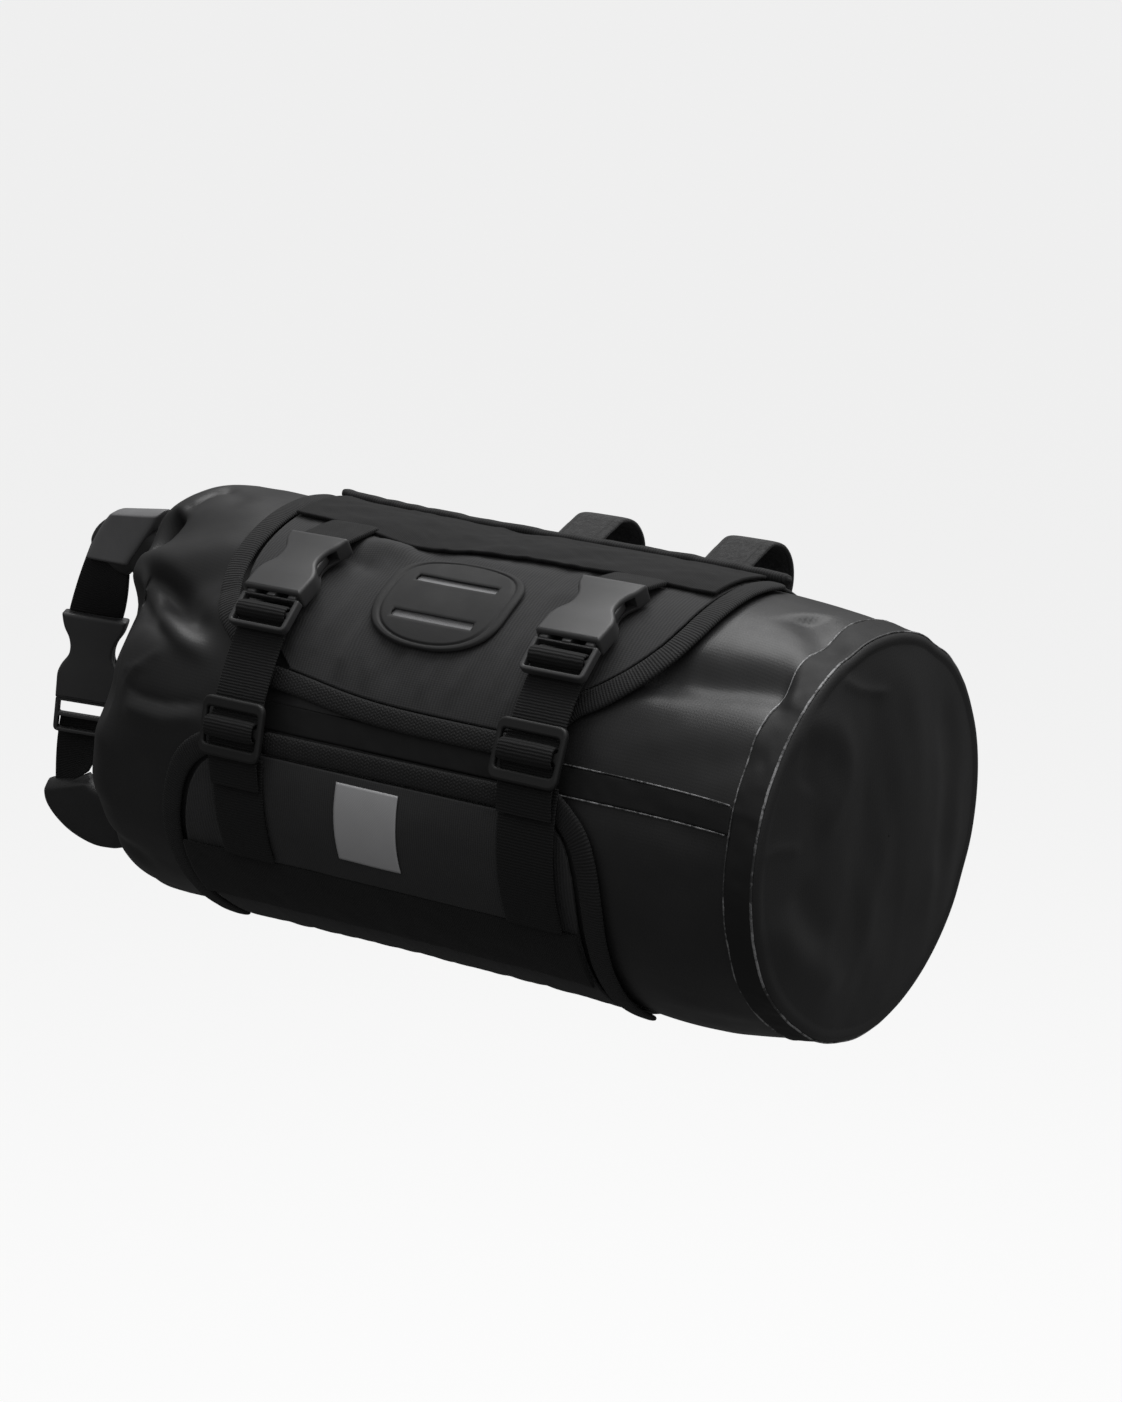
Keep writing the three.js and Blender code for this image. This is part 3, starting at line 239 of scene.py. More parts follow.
def on_drum(along, angle, lift=0.0, bridged=False):
    """The drum's cloth, or the harness's smoother surface over it, lift millimetres out."""
    along, angle, lift = np.broadcast_arrays(*(np.asarray(a, float) for a in (along, angle, lift)))
    row = table_row(BODY, along / LENGTH)
    depth = fold_depth(along, angle, FOLDS)
    if bridged:
        depth = np.minimum(depth, 0)
    else:
        depth = depth + fold_depth(along, angle, SMALL_FOLDS) + crease_depth(along, angle, BASE_DENTS)
    p = section(row[..., 1], row[..., 2], row[..., 3], row[..., 4], along, angle, depth)
    return p + outwards(angle) * lift[..., None]


def on_harness(along, angle, lift=0.0):
    return on_drum(along, angle, lift, True)


def to_frame(p):
    return (p + ORIGIN) * 0.001


def grid_faces(rows, cols, closed):
    span = cols if closed else cols - 1
    r, c = np.meshgrid(np.arange(rows - 1), np.arange(span), indexing="ij")
    n = (c + 1) % cols
    return np.stack([r * cols + c, r * cols + n, (r + 1) * cols + n, (r + 1) * cols + c], -1).reshape(-1, 4)


def add_mesh(name, points, faces, material, uv):
    """A mesh object in the frame, in metres, from points in drum millimetres, riding on the bag."""
    mesh = bpy.data.meshes.new(name)
    mesh.from_pydata(to_frame(np.asarray(points, float)).tolist(), [], [list(map(int, f)) for f in faces])
    mesh.uv_layers.new(name="UVMap").data.foreach_set("uv", np.asarray(uv, np.float32).ravel())
    mesh.polygons.foreach_set("use_smooth", [True] * len(mesh.polygons))
    mesh.materials.append(material)
    mesh.validate()
    mesh.update()
    return add_object(name, mesh)


def add_object(name, mesh):
    obj = bpy.data.objects.new(name, mesh)
    bpy.context.scene.collection.objects.link(obj)
    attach(obj, "root")
    return obj


def uv_map(u, v, scale=0.001):
    """UVs in metres from two grids or rows of millimetres."""
    return np.stack(np.broadcast_arrays(u, v), -1) * scale


def loop_uv(uv):
    """Corner UVs of a grid's faces, from per-point values with one more column where the grid closes."""
    r, c = np.meshgrid(np.arange(uv.shape[0] - 1), np.arange(uv.shape[1] - 1), indexing="ij")
    return np.stack([uv[r, c], uv[r, c + 1], uv[r + 1, c + 1], uv[r + 1, c]], 2).reshape(-1, 2)


def capped(faces, corners, rows, cols):
    """A closed grid's faces and corner UVs with its two ends closed."""
    last = (rows - 1) * cols
    faces = list(faces) + [list(range(cols))[::-1], list(range(last, last + cols))]
    return faces, np.concatenate([corners, np.zeros((2 * cols, 2))])


def add_grid(name, p, uv, material, closed=False, thick=0.0, caps=False):
    """A grid of points as a smooth sheet. thick adds an inner face, that far inside, and the rim."""
    rows, cols = p.shape[:2]
    faces, corners = grid_faces(rows, cols, closed), loop_uv(uv)
    if caps:
        faces, corners = capped(faces, corners, rows, cols)
    obj = add_mesh(name, p.reshape(-1, 3), faces, material, corners)
    face_out(obj)
    if thick:
        solidify(obj, thick).use_even_offset = False
    return obj


def solidify(obj, thick):
    solid = obj.modifiers.new("thickness", "SOLIDIFY")
    solid.thickness, solid.offset = thick * 0.001, -1
    return solid


def face_out(obj):
    """Turns an open sheet's faces away from the drum's axis."""
    mesh = obj.data
    centre = to_frame(np.array([0, 0, 0.0]))
    total = 0.0
    for index in range(0, len(mesh.polygons), max(1, len(mesh.polygons) // 400)):
        polygon = mesh.polygons[index]
        away = Vector((0, polygon.center.y - centre[1], polygon.center.z - centre[2]))
        total += polygon.normal.dot(away)
    if total < 0:
        mesh.flip_normals()


def loft(name, rings, material):
    """A closed tube through rings of points (count, size, 3). UV: round the section, and the length."""
    count, size = rings.shape[:2]
    u = np.concatenate([[0], np.cumsum(np.linalg.norm(np.roll(rings, -1, 1) - rings, axis=2).mean(0))])
    v = lengths_along(rings.mean(1))
    uv = np.stack(np.broadcast_arrays(u[None, :] * 0.001, v[:, None] * 0.001), -1)
    faces, corners = capped(grid_faces(count, size, True), loop_uv(uv), count, size)
    obj = add_mesh(name, rings.reshape(-1, 3), faces, material, corners)
    bm = bmesh.new()
    bm.from_mesh(obj.data)
    bmesh.ops.recalc_face_normals(bm, faces=bm.faces)
    bm.to_mesh(obj.data)
    bm.free()
    return obj


def lengths_along(line):
    return np.concatenate([[0], np.cumsum(np.linalg.norm(np.diff(line, axis=0), axis=1))])


def round_section(points, corner_across, corner_up):
    """Unit offsets across and up round a section. The lower a corner's value, the squarer it is."""
    turn = np.linspace(0, 2 * math.pi, points + 1)[:-1]
    cos, sin = np.cos(turn), np.sin(turn)
    across = np.sign(cos) * np.abs(cos) ** corner_across * 0.5
    return across, np.sign(sin) * np.abs(sin) ** corner_up * 0.5


def smooth_line(points, count):
    """Points evenly spaced along a smooth curve through some points (centripetal Catmull-Rom)."""
    pts = np.asarray(points, float)
    pts = np.vstack([2 * pts[0] - pts[1], pts, 2 * pts[-1] - pts[-2]])
    out = []
    for i in range(1, len(pts) - 2):
        p0, p1, p2, p3 = pts[i - 1: i + 3]
        t0 = 0.0
        t1 = t0 + max(np.linalg.norm(p1 - p0) ** 0.5, 1e-4)
        t2 = t1 + max(np.linalg.norm(p2 - p1) ** 0.5, 1e-4)
        t3 = t2 + max(np.linalg.norm(p3 - p2) ** 0.5, 1e-4)
        t = np.linspace(t1, t2, 24, endpoint=False)[:, None]
        a1 = (t1 - t) / (t1 - t0) * p0 + (t - t0) / (t1 - t0) * p1
        a2 = (t2 - t) / (t2 - t1) * p1 + (t - t1) / (t2 - t1) * p2
        a3 = (t3 - t) / (t3 - t2) * p2 + (t - t2) / (t3 - t2) * p3
        b1 = (t2 - t) / (t2 - t0) * a1 + (t - t0) / (t2 - t0) * a2
        b2 = (t3 - t) / (t3 - t1) * a2 + (t - t1) / (t3 - t1) * a3
        out.append((t2 - t) / (t2 - t1) * b1 + (t - t1) / (t2 - t1) * b2)
    out.append(pts[-2][None])
    line = np.vstack(out)
    s = lengths_along(line)
    at = np.linspace(0, s[-1], count)
    return np.stack([np.interp(at, s, line[:, k]) for k in range(line.shape[1])], 1)


# Materials

def principled(name):
    material = bpy.data.materials.new(name)
    material.use_nodes = True
    tree = material.node_tree
    return material, tree, tree.nodes["Principled BSDF"]


def new_material(name):
    """A material, its nodes and shader, and the place in the object, in metres."""
    material, tree, shader = principled(name)
    return material, tree, shader, node(tree, "ShaderNodeTexCoord").outputs["Object"]


def node(tree, kind, **values):
    made = tree.nodes.new(kind)
    for key, value in values.items():
        if key in made.inputs:
            made.inputs[key].default_value = value
        else:
            setattr(made, key, value)
    return made


def math_node(tree, operation, a, b=None):
    made = node(tree, "ShaderNodeMath", operation=operation)
    for index, value in enumerate((a, b)):
        if value is None:
            continue
        if isinstance(value, (int, float)):
            made.inputs[index].default_value = value
        else:
            tree.links.new(value, made.inputs[index])
    return made.outputs[0]


def times(tree, a, b):
    return math_node(tree, "MULTIPLY", a, b)


def plus(tree, a, b):
    return math_node(tree, "ADD", a, b)


def mean(tree, a, b, share=0.5):
    return times(tree, plus(tree, a, b), share)


def noise_node(tree, vector, scale, detail=3.0, rough=0.5):
    made = node(tree, "ShaderNodeTexNoise")
    made.inputs["Scale"].default_value = scale
    made.inputs["Detail"].default_value = detail
    made.inputs["Roughness"].default_value = rough
    tree.links.new(vector, made.inputs["Vector"])
    return made.outputs["Fac"]


def ramp(tree, value, low, high, to_low, to_high):
    made = node(tree, "ShaderNodeMapRange")
    for key, number in (("From Min", low), ("From Max", high), ("To Min", to_low), ("To Max", to_high)):
        made.inputs[key].default_value = number
    tree.links.new(value, made.inputs["Value"])
    return made.outputs[0]


def uv_axes(tree):
    """The UV map in millimetres, as two values."""
    split = node(tree, "ShaderNodeSeparateXYZ")
    tree.links.new(node(tree, "ShaderNodeUVMap").outputs[0], split.inputs[0])
    return times(tree, split.outputs[0], 1000.0), times(tree, split.outputs[1], 1000.0)


def wave(tree, value, period):
    """A sine from 0 to 1 with that period."""
    sine = math_node(tree, "SINE", times(tree, value, 2 * math.pi / period))
    return plus(tree, times(tree, sine, 0.5), 0.5)


def finish_material(tree, shader, colour, colour_high, mask, rough_low, rough_high, rough_mask, bumps):
    """Colour between two greys by a mask, roughness by another, and a chain of bumps (height, mm)."""
    mix = node(tree, "ShaderNodeMix", data_type="RGBA")
    mix.inputs[6].default_value = (*colour, 1)
    mix.inputs[7].default_value = (*colour_high, 1)
    tree.links.new(mask, mix.inputs[0])
    tree.links.new(mix.outputs[2], shader.inputs["Base Color"])
    tree.links.new(ramp(tree, rough_mask, 0.25, 0.75, rough_low, rough_high), shader.inputs["Roughness"])
    normal = None
    for height, size in bumps:
        bump = node(tree, "ShaderNodeBump")
        bump.inputs["Strength"].default_value = 1.0
        bump.inputs["Distance"].default_value = size * 0.001
        tree.links.new(height, bump.inputs["Height"])
        if normal is not None:
            tree.links.new(normal, bump.inputs["Normal"])
        normal = bump.outputs[0]
    tree.links.new(normal, shader.inputs["Normal"])


def grey(value):
    return (value, value, value * 1.02)


def coated_cloth(name, base=0.018, rough=0.42, weave=0.02, undulate=0.5, gloss=0.36):
    """Smooth coated cloth that undulates, with a faint printed weave."""
    material, tree, shader, place = new_material(name)
    u, v = uv_axes(tree)
    fine = noise_node(tree, place, 900.0, 2.0)
    patches = noise_node(tree, place, 34.0, 4.0, 0.6)
    print_weave = times(tree, wave(tree, u, 1.5), wave(tree, v, 1.5))
    soft = noise_node(tree, place, 22.0, 3.0, 0.45)
    mask = times(tree, patches, 0.9)
    finish_material(tree, shader, grey(base), grey(base * 1.7), mask, rough - 0.06, rough + 0.1, patches,
                    [(soft, undulate), (print_weave, weave), (fine, 0.02)])
    shader.inputs["Specular IOR Level"].default_value = gloss
    return material


def ribbed_cloth(name, base=0.029, rib=1.5, depth=0.10):
    """Cloth with fine upright ribs and a faint square grid."""
    material, tree, shader, place = new_material(name)
    u, v = uv_axes(tree)
    patches = noise_node(tree, place, 60.0, 4.0, 0.6)
    wobble = times(tree, noise_node(tree, place, 250.0, 1.0), 0.8)
    ribs = wave(tree, plus(tree, u, wobble), rib)
    cloth = plus(tree, ribs, times(tree, wave(tree, v, 0.9), 0.4))
    creases = noise_node(tree, place, 48.0, 4.0, 0.55)
    finish_material(tree, shader, grey(base), grey(base * 1.9), mean(tree, ribs, patches), 0.82, 0.97,
                    patches, [(creases, 0.6), (cloth, depth)])
    shader.inputs["Specular IOR Level"].default_value = 0.16
    shader.inputs["Sheen Weight"].default_value = 0.05
    shader.inputs["Sheen Roughness"].default_value = 0.5
    return material


def webbing(name, base=0.008, rib=1.3, depth=0.2, rough=0.7):
    """Woven strap: raised ribs across it, each a row of twisted threads. UV runs round and along."""
    material, tree, shader, place = new_material(name)
    u, v = uv_axes(tree)
    wobble = times(tree, noise_node(tree, place, 300.0, 2.0), 0.5)
    ribs = wave(tree, plus(tree, v, wobble), rib)
    twist = times(tree, wave(tree, plus(tree, u, times(tree, v, 0.8)), 1.0), 0.3)
    patches = noise_node(tree, place, 90.0, 3.0, 0.6)
    finish_material(tree, shader, grey(base * 0.6), grey(base * 2.2), mean(tree, ribs, patches), rough,
                    rough + 0.18, patches, [(plus(tree, ribs, twist), depth)])
    shader.inputs["Specular IOR Level"].default_value = 0.22
    shader.inputs["Sheen Weight"].default_value = 0.04
    return material


def knit(name, base=0.013, size=1.5, depth=0.3):
    """Open knitted edge tape: offset rows of small loops."""
    material, tree, shader, place = new_material(name)
    u, v = uv_axes(tree)
    row = wave(tree, v, size * 2)
    slanted = plus(tree, u, times(tree, row, size * 0.6))
    loops = times(tree, wave(tree, slanted, size), wave(tree, v, size))
    patches = noise_node(tree, place, 120.0, 2.0)
    finish_material(tree, shader, grey(base * 0.5), grey(base * 2.6), mean(tree, loops, patches, 0.55), 0.7,
                    0.9, patches, [(loops, depth)])
    shader.inputs["Specular IOR Level"].default_value = 0.3
    return material


# Seams of the hook-and-loop tape, in mm round its section from one edge
STITCHED_SEAMS = (4.5, 23.0, 31.5, 50.0)


def pile(name, base=0.013):
    """The soft pile of hook-and-loop tape: short fuzz with pale tips."""
    material, tree, shader, place = new_material(name)
    u, _ = uv_axes(tree)
    fuzz = noise_node(tree, place, 1500.0, 4.0, 0.7)
    clumps = noise_node(tree, place, 420.0, 3.0, 0.6)
    mask = ramp(tree, times(tree, fuzz, clumps), 0.18, 0.42, 0.0, 1.0)
    for seam in STITCHED_SEAMS:
        beside = math_node(tree, "ABSOLUTE", math_node(tree, "SUBTRACT", u, seam))
        mask = times(tree, mask, ramp(tree, beside, 0.3, 0.7, 0.0, 1.0))
    finish_material(tree, shader, grey(base * 0.5), grey(base * 3.4), mask, 0.85, 1.0, clumps,
                    [(clumps, 0.5), (fuzz, 0.35)])
    shader.inputs["Sheen Weight"].default_value = 0.1
    shader.inputs["Sheen Roughness"].default_value = 0.6
    return material


def plastic(name, base=0.035, rough=0.36, grain=0.02):
    """Moulded plastic or rubber with a fine grain."""
    material, tree, shader, place = new_material(name)
    fine = noise_node(tree, place, 1800.0, 2.0)
    patches = noise_node(tree, place, 70.0, 3.0, 0.6)
    finish_material(tree, shader, grey(base), grey(base * 1.35), patches, rough, rough + 0.12, patches,
                    [(fine, grain)])
    return material


def reflective(name, base):
    """Plain grey reflective film: a fine lattice of tiny cells."""
    material, tree, shader, place = new_material(name)
    u, v = uv_axes(tree)
    cells = times(tree, wave(tree, plus(tree, u, v), 1.1), wave(tree, math_node(tree, "SUBTRACT", u, v), 1.1))
    patches = noise_node(tree, place, 60.0, 3.0)
    finish_material(tree, shader, grey(base), grey(base * 1.25), mean(tree, cells, patches), 0.42, 0.6,
                    patches, [(cells, 0.03)])
    return material


def weld_highlight_material(name):
    """A weld bead's pale broken line: grey in patches, black between, a painted highlight where the tape's
    edge catches the light.
    """
    material, tree, shader, place = new_material(name)
    broken = noise_node(tree, place, 260.0, 4.0, 0.75)
    mask = ramp(tree, times(tree, broken, noise_node(tree, place, 26.0, 2.0)), 0.2, 0.3, 0.0, 1.0)
    finish_material(tree, shader, grey(0.03), grey(0.30), mask, 0.5, 0.7, broken, [(broken, 0.2)])
    return material


MAT = {
    "coated": coated_cloth("coated_cloth"),
    "base": coated_cloth("base_cloth", base=0.014, rough=0.46, weave=0.02, undulate=0.7),
    # A lighter copy of the coated cloth for the roll's upper fold: a painted highlight where the overhead
    # light falls on its top.
    "roll": coated_cloth("roll_cloth_painted_highlight", base=0.12, rough=0.5, weave=0.02, undulate=0.4),
    "tape": coated_cloth("weld_tape", base=0.010, rough=0.62, weave=0.0, undulate=0.3, gloss=0.3),
    "ripstop": ribbed_cloth("ripstop"),
    "pocket": ribbed_cloth("pocket_cloth", base=0.028, rib=1.1, depth=0.05),
    "band": ribbed_cloth("band_cloth", base=0.010, rib=1.0, depth=0.12),
    "binding": webbing("edge_binding", base=0.014, rib=1.35, depth=0.22, rough=0.75),
    "knit": knit("knitted_hem"),
    "webbing": webbing("webbing"),
    "pile": pile("hook_pile"),
    "buckle": plastic("buckle_plastic", base=0.036, rough=0.42),
    "dark_plastic": plastic("dark_plastic", base=0.006, rough=0.5),
    "rubber": plastic("patch_rubber", base=0.013, rough=0.7, grain=0.05),
    "pale": ribbed_cloth("pale_web", base=0.2, rib=1.0, depth=0.1),
    "reflector": reflective("reflector", 0.4),
    "weld": weld_highlight_material("weld_painted_highlight"),
}

# Drum


def neck_point(row, angle):
    side, top, bottom, side_out, top_out, bottom_out = np.moveaxis(row, -1, 0)
    upright = np.sin(np.radians(angle)) ** 2
    edge = np.where(np.sin(np.radians(angle)) > 0, top_out, bottom_out)
    hollow = 0.0
    for at, spread, deep in NECK_HOLLOWS:
        turned = (angle - at + 180) % 360 - 180
        deep = deep * np.exp(-(turned / spread) ** 2)
        hollow = hollow + deep * np.clip(side_out / 0.6, 0, 1) * np.clip(side / 0.3, 0, 1)
    along = LENGTH + (side_out + (edge - side_out) * upright - hollow) * NECK
    folds = fold_depth(along, angle, FOLDS) + fold_depth(along, angle, SMALL_FOLDS)
    p = section(side, top, side, bottom, along, angle, folds)
    p[..., 0] += NECK_LEAN * side_out * p[..., 2]
    return p


def normals_of(p):
    """Unit normals of a closed grid, away from its middle."""
    along = np.gradient(p, axis=0)
    around = np.roll(p, -1, 1) - np.roll(p, 1, 1)
    n = np.cross(along, around)
    n /= np.maximum(np.linalg.norm(n, axis=2, keepdims=True), 1e-9)
    return n if (n * (p - p.mean((0, 1)))).sum() > 0 else -n


def creased(p, places, creases):
    """Sinks lines into a closed grid of one column a degree, along its normals."""
    n = normals_of(p)
    total = np.zeros(p.shape[:2])
    for line, width, deep, steep in creases:
        rows = np.interp([at for at, _ in line], places, np.arange(len(places)))
        corners = [p[int(round(r)), int(round(angle)) % 360] for r, (_, angle) in zip(rows, line)]
        path = smooth_line(corners, 24)
        best, where = line_gap(p, path)
        total += deep * np.exp(-(best / width) ** steep) * ends_taper(where, 0.18, 0.3)
    return p - n * total[..., None]


# The drum's grid: columns a degree apart, rings along the body, and rings for each row of the neck
BODY_RINGS, NECK_STEPS = 206, 8
DEGREES = np.arange(0, 360, 1.0)


def neck_rows():
    """The neck's sections, on a smooth curve through its rows."""
    rows = np.vstack([[1.01, 1.11, 1.09, -0.3, -0.3, -0.3], NECK_ROWS])
    fine = []
    for i in range(1, len(rows) - 1):
        p0, p1, p2, p3 = rows[i - 1], rows[i], rows[i + 1], rows[min(i + 2, len(rows) - 1)]
        for t in np.linspace(0, 1, NECK_STEPS + 1)[1:]:
            fine.append(0.5 * (2 * p1 + (p2 - p0) * t + (2 * p0 - 5 * p1 + 4 * p2 - p3) * t ** 2
                               + (3 * p1 - p0 - 3 * p2 + p3) * t ** 3))
    return np.array(fine)


def round_uv(angles, lengths):
    """UVs of a closed grid: round the drum, and along it in mm."""
    around = np.append(angles, 360.0)[None, :] * math.pi / 180 * R * 0.001
    return np.stack(np.broadcast_arrays(around, lengths[:, None] * 0.001), -1)


def drum_rings():
    body_along = np.linspace(0, LENGTH, BODY_RINGS)
    rows = neck_rows()
    steps = np.arange(1, len(rows) + 1)
    degrees = DEGREES[None, :]
    p = np.concatenate([on_drum(body_along[:, None], degrees), neck_point(rows[:, None, :], degrees)])
    p = creased(p, np.concatenate([body_along, LENGTH + steps * PLACES_PER_ROW / NECK_STEPS]), CREASES)
    # soft unevenness of a filled cloth bag
    wobble = value_noise(p * [0.5, 1, 1], 16.0, 3) * 0.35 + value_noise(p * [0.6, 1, 1], 7.0, 5) * 0.12
    away = p * [0, 1, 1]
    away = away / np.maximum(np.linalg.norm(away, axis=2, keepdims=True), 1)
    p = p + away * wobble[..., None]
    return p, round_uv(DEGREES, np.concatenate([body_along, LENGTH + steps * 2.0]))


p, uv = drum_rings()
drum = add_grid("drum", p, uv, MAT["coated"], closed=True, caps=True)
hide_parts("drum_tube")


# Soft folds of the round end, each a line of (back, up) in mm from its middle, a half width, a height and
# how steep its sides are
DISC_FOLDS = [
    ([(-76, 50), (-58, 60), (-40, 55), (-31, 40), (-38, 24), (-56, 14)], 7.5, 1.6, 2),
    ([(-64, 52), (-54, 46), (-62, 34)], 9.0, -0.9, 2),
    ([(-34, 76), (-22, 68), (-8, 63), (6, 60)], 2.2, 1.3, 1),
    ([(-92, 14), (-78, 15), (-62, 11)], 2.4, 1.1, 1),
    ([(-86, -10), (-70, -28), (-48, -46), (-28, -62)], 9.0, 2.0, 2),
    ([(-66, 0), (-58, -18), (-40, -34)], 8.0, -1.4, 2),
    ([(-14, 84), (-10, 50), (-17, 18), (-24, -22), (-20, -60)], 10.0, -1.8, 2),
    ([(18, 78), (24, 40), (20, 0), (12, -50)], 12.0, 1.5, 2),
    ([(50, 50), (58, 10), (46, -36)], 10.0, -1.6, 2),
]


def base_disc():
    angles = np.linspace(0, 360, 241)[:-1]
    shares = np.concatenate([[0.004], np.linspace(0.03, 0.95, 58), [0.97]])
    rim = on_drum(0 * angles, angles)
    calm = outwards(angles) * R
    mix = (shares ** 3)[:, None, None]
    p = (rim[None] * mix + calm[None] * (1 - mix)) * shares[:, None, None]
    s = shares[:, None]
    dent = 0.35 * np.sin(3 * np.radians(angles)[None, :] + math.radians(40)) * s ** 3 * (1 - s) * 6
    flat = np.stack([p[..., 1], p[..., 2], 0 * p[..., 1]], -1)
    out = 1.8 + 7 * (1 - s ** 2) * (1 - dent)
    out = out + 1.6 * value_noise(flat * [1, 0.55, 1], 30.0, 4) * (1 - s ** 6)
    out = out + 0.5 * value_noise(flat * [1, 0.4, 1], 11.0, 9) * (1 - s ** 8)
    for line, width, high, steep in DISC_FOLDS:
        best, where = line_gap(flat[..., :2], smooth_line(line, 16))
        out = out + high * np.exp(-(best / width) ** steep) * ends_taper(where, 0.2, 0.25)
    p[..., 0] = out
    rings = [p[:-1]]
    for lift, beyond in ((-2.4, 3.2), (0.2, 2.4), (0.9, 1.4)):
        ring = on_drum(0 * angles, angles, lift)
        ring[:, 0] = beyond
        rings.append(ring[None])
    p = np.concatenate(rings)
    uv = uv_map(p[..., 1], p[..., 2])
    return p, np.concatenate([uv, uv[:, :1]], 1)


p, uv = base_disc()
disc = add_grid("drum_end", p, uv, MAT["base"], closed=True)
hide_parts("drum_base")


# The end tape's section (along, lift), and the small steps where it was overlapped (angle, height)
END_TAPE = [(12.2, 0.2), (12.1, 0.8), (11.6, 1.1), (9, 1.2), (6, 1.2), (3, 1.3), (0.6, 1.4), (-0.8, 1.3),
            (-1.3, 0.9)]
END_TAPE_STEPS = ((52, 0.7), (172, 0.6), (262, 0.6), (318, 0.5), (20, 0.55))


def base_tape():
    fine = smooth_line([(a, b, 0) for a, b in END_TAPE], 30)[:, :2]
    extra = 0 * DEGREES
    for at, high in END_TAPE_STEPS:
        gap = (DEGREES - at + 180) % 360 - 180
        extra = extra + high * (1 / (1 + np.exp(-gap * 3)) - 0.5) * np.exp(-(gap / 14) ** 2)
    rows = []
    for along, lift in fine:
        bumps = value_noise(np.stack([DEGREES * 1.57, 0 * DEGREES + along, 0 * DEGREES], -1), 5.0, 6) * 0.25
        ring = on_drum(np.full_like(DEGREES, max(along, 0.0)), DEGREES, lift + extra + bumps)
        ring[:, 0] = -along
        rows.append(ring)
    return np.array(rows), round_uv(DEGREES, lengths_along(fine))


p, uv = base_tape()
tape = add_grid("end_tape", p, uv, MAT["tape"], closed=True, thick=0.5)
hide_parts("base_tape")


SEAM_TAPE_ENDS, SEAM_TAPE_ANGLE, SEAM_TAPE_HALF = (13, 262), 18, 6


def seam_tape():
    along = np.linspace(*SEAM_TAPE_ENDS, 220)[:, None]
    v = np.linspace(-1, 1, 21)[None, :]
    edge = np.minimum(1, (1 - np.abs(v)) / 0.12) ** 0.5
    bumps = value_noise(np.stack(np.broadcast_arrays(along, v * 6, 0 * v), -1), 5.0, 8) * 0.18
    angle = SEAM_TAPE_ANGLE + v * math.degrees(SEAM_TAPE_HALF / R)
    return on_drum(along, angle, 0.15 + 0.6 * edge + bumps * edge), uv_map(v * SEAM_TAPE_HALF, along)


p, uv = seam_tape()
strip = add_grid("seam_tape_strip", p, uv, MAT["tape"], thick=0.3)
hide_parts("seam_tape")

# Rolled mouth

ROLL_LINE = [(0.86, 0.62), (0.82, 0.68), (0.73, 0.72), (0.62, 0.71), (0.53, 0.6), (0.5, 0.38), (0.51, 0.0),
             (0.58, -0.4), (0.7, -0.72), (0.9, -0.86), (1.06, -0.87), (1.17, -0.81), (1.23, -0.72)]
ROLL_WIDTH, ROLL_THICK = 28.0, 11.0


def end_plane(out, up):
    return np.array([-(LENGTH + out * R), 0.0, up * R])


roll_curve = smooth_line([end_plane(*at) for at in ROLL_LINE], 200)


def frames_along(line):
    tangent = np.gradient(line, axis=0)
    return tangent / np.linalg.norm(tangent, axis=1, keepdims=True)


def roll_top():
    tangent = frames_along(roll_curve)
    side = np.stack([-tangent[:, 2], 0 * tangent[:, 0], tangent[:, 0]], 1)
    across, thick = round_section(48, 0.75, 0.8)
    # layers of the roll show as soft steps in its section
    steps = 0.045 * np.cos(np.linspace(0, 2 * math.pi, 49)[:-1] * 6)
    rings = []
    for s, at, sideways in zip(np.linspace(0, 1, len(roll_curve)), roll_curve, side):
        end = min(1, (min(s, 1 - s) * 320 + 1.2) / 6) ** 0.5
        swell = 1 + 0.02 * math.sin(s * 40)
        ring = at + sideways * (across * ROLL_WIDTH * (0.9 + 0.1 * end) * swell)[:, None]
        ring[:, 1] += thick * (1 + steps) * ROLL_THICK * (0.8 + 0.2 * end)
        rings.append(ring)
    return np.array(rings)


roll = loft("rolled_mouth", roll_top(), MAT["coated"])
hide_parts("roll_top")


# The two ends of the roll, folded over: (out, up) in mm at the inner and the outer edge of each flat section
FOLD_THICK, FOLD_STEPS = 14.0, 60
FOLD_UPPER = [((39, 84.5), (70, 81)), ((43, 78), (76, 75)), ((52, 67), (83, 66)), ((63, 54), (90, 54))]
FOLD_LOWER = [((97, -60), (126, -65)), ((90, -63), (125, -76)), ((82, -64), (113, -87)),
              ((72, -62), (94, -93)), ((62, -56), (74, -92))]


def folded_end(name, edges, material):
    inner = smooth_line([(a, b, 0) for (a, b), _ in edges], FOLD_STEPS)
    outer = smooth_line([(a, b, 0) for _, (a, b) in edges], FOLD_STEPS)
    across, deep = round_section(48, 0.28, 0.28)
    rings = []
    for i, (a, b) in enumerate(zip(inner, outer)):
        end = min(1.0, (min(i, FOLD_STEPS - 1 - i) + 0.6) / 5) ** 0.5
        share = 0.5 + across * (0.94 + 0.06 * end)
        flat = a[None] * (1 - share)[:, None] + b[None] * share[:, None]
        rings.append(np.stack([-(LENGTH + flat[:, 0]), deep * FOLD_THICK * end, flat[:, 1]], 1))
    return loft(name, np.array(rings), material)


# The upper fold takes the lighter roll cloth, a painted highlight on its lit top; the lower fold takes the
# plain coated cloth.
ROLL_FOLDS = [("roll_fold_upper", FOLD_UPPER, "roll"), ("roll_fold_lower", FOLD_LOWER, "coated")]
for name, edges, material in ROLL_FOLDS:
    fold = folded_end(name, edges, MAT[material])
    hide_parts("roll_top")

# Harness

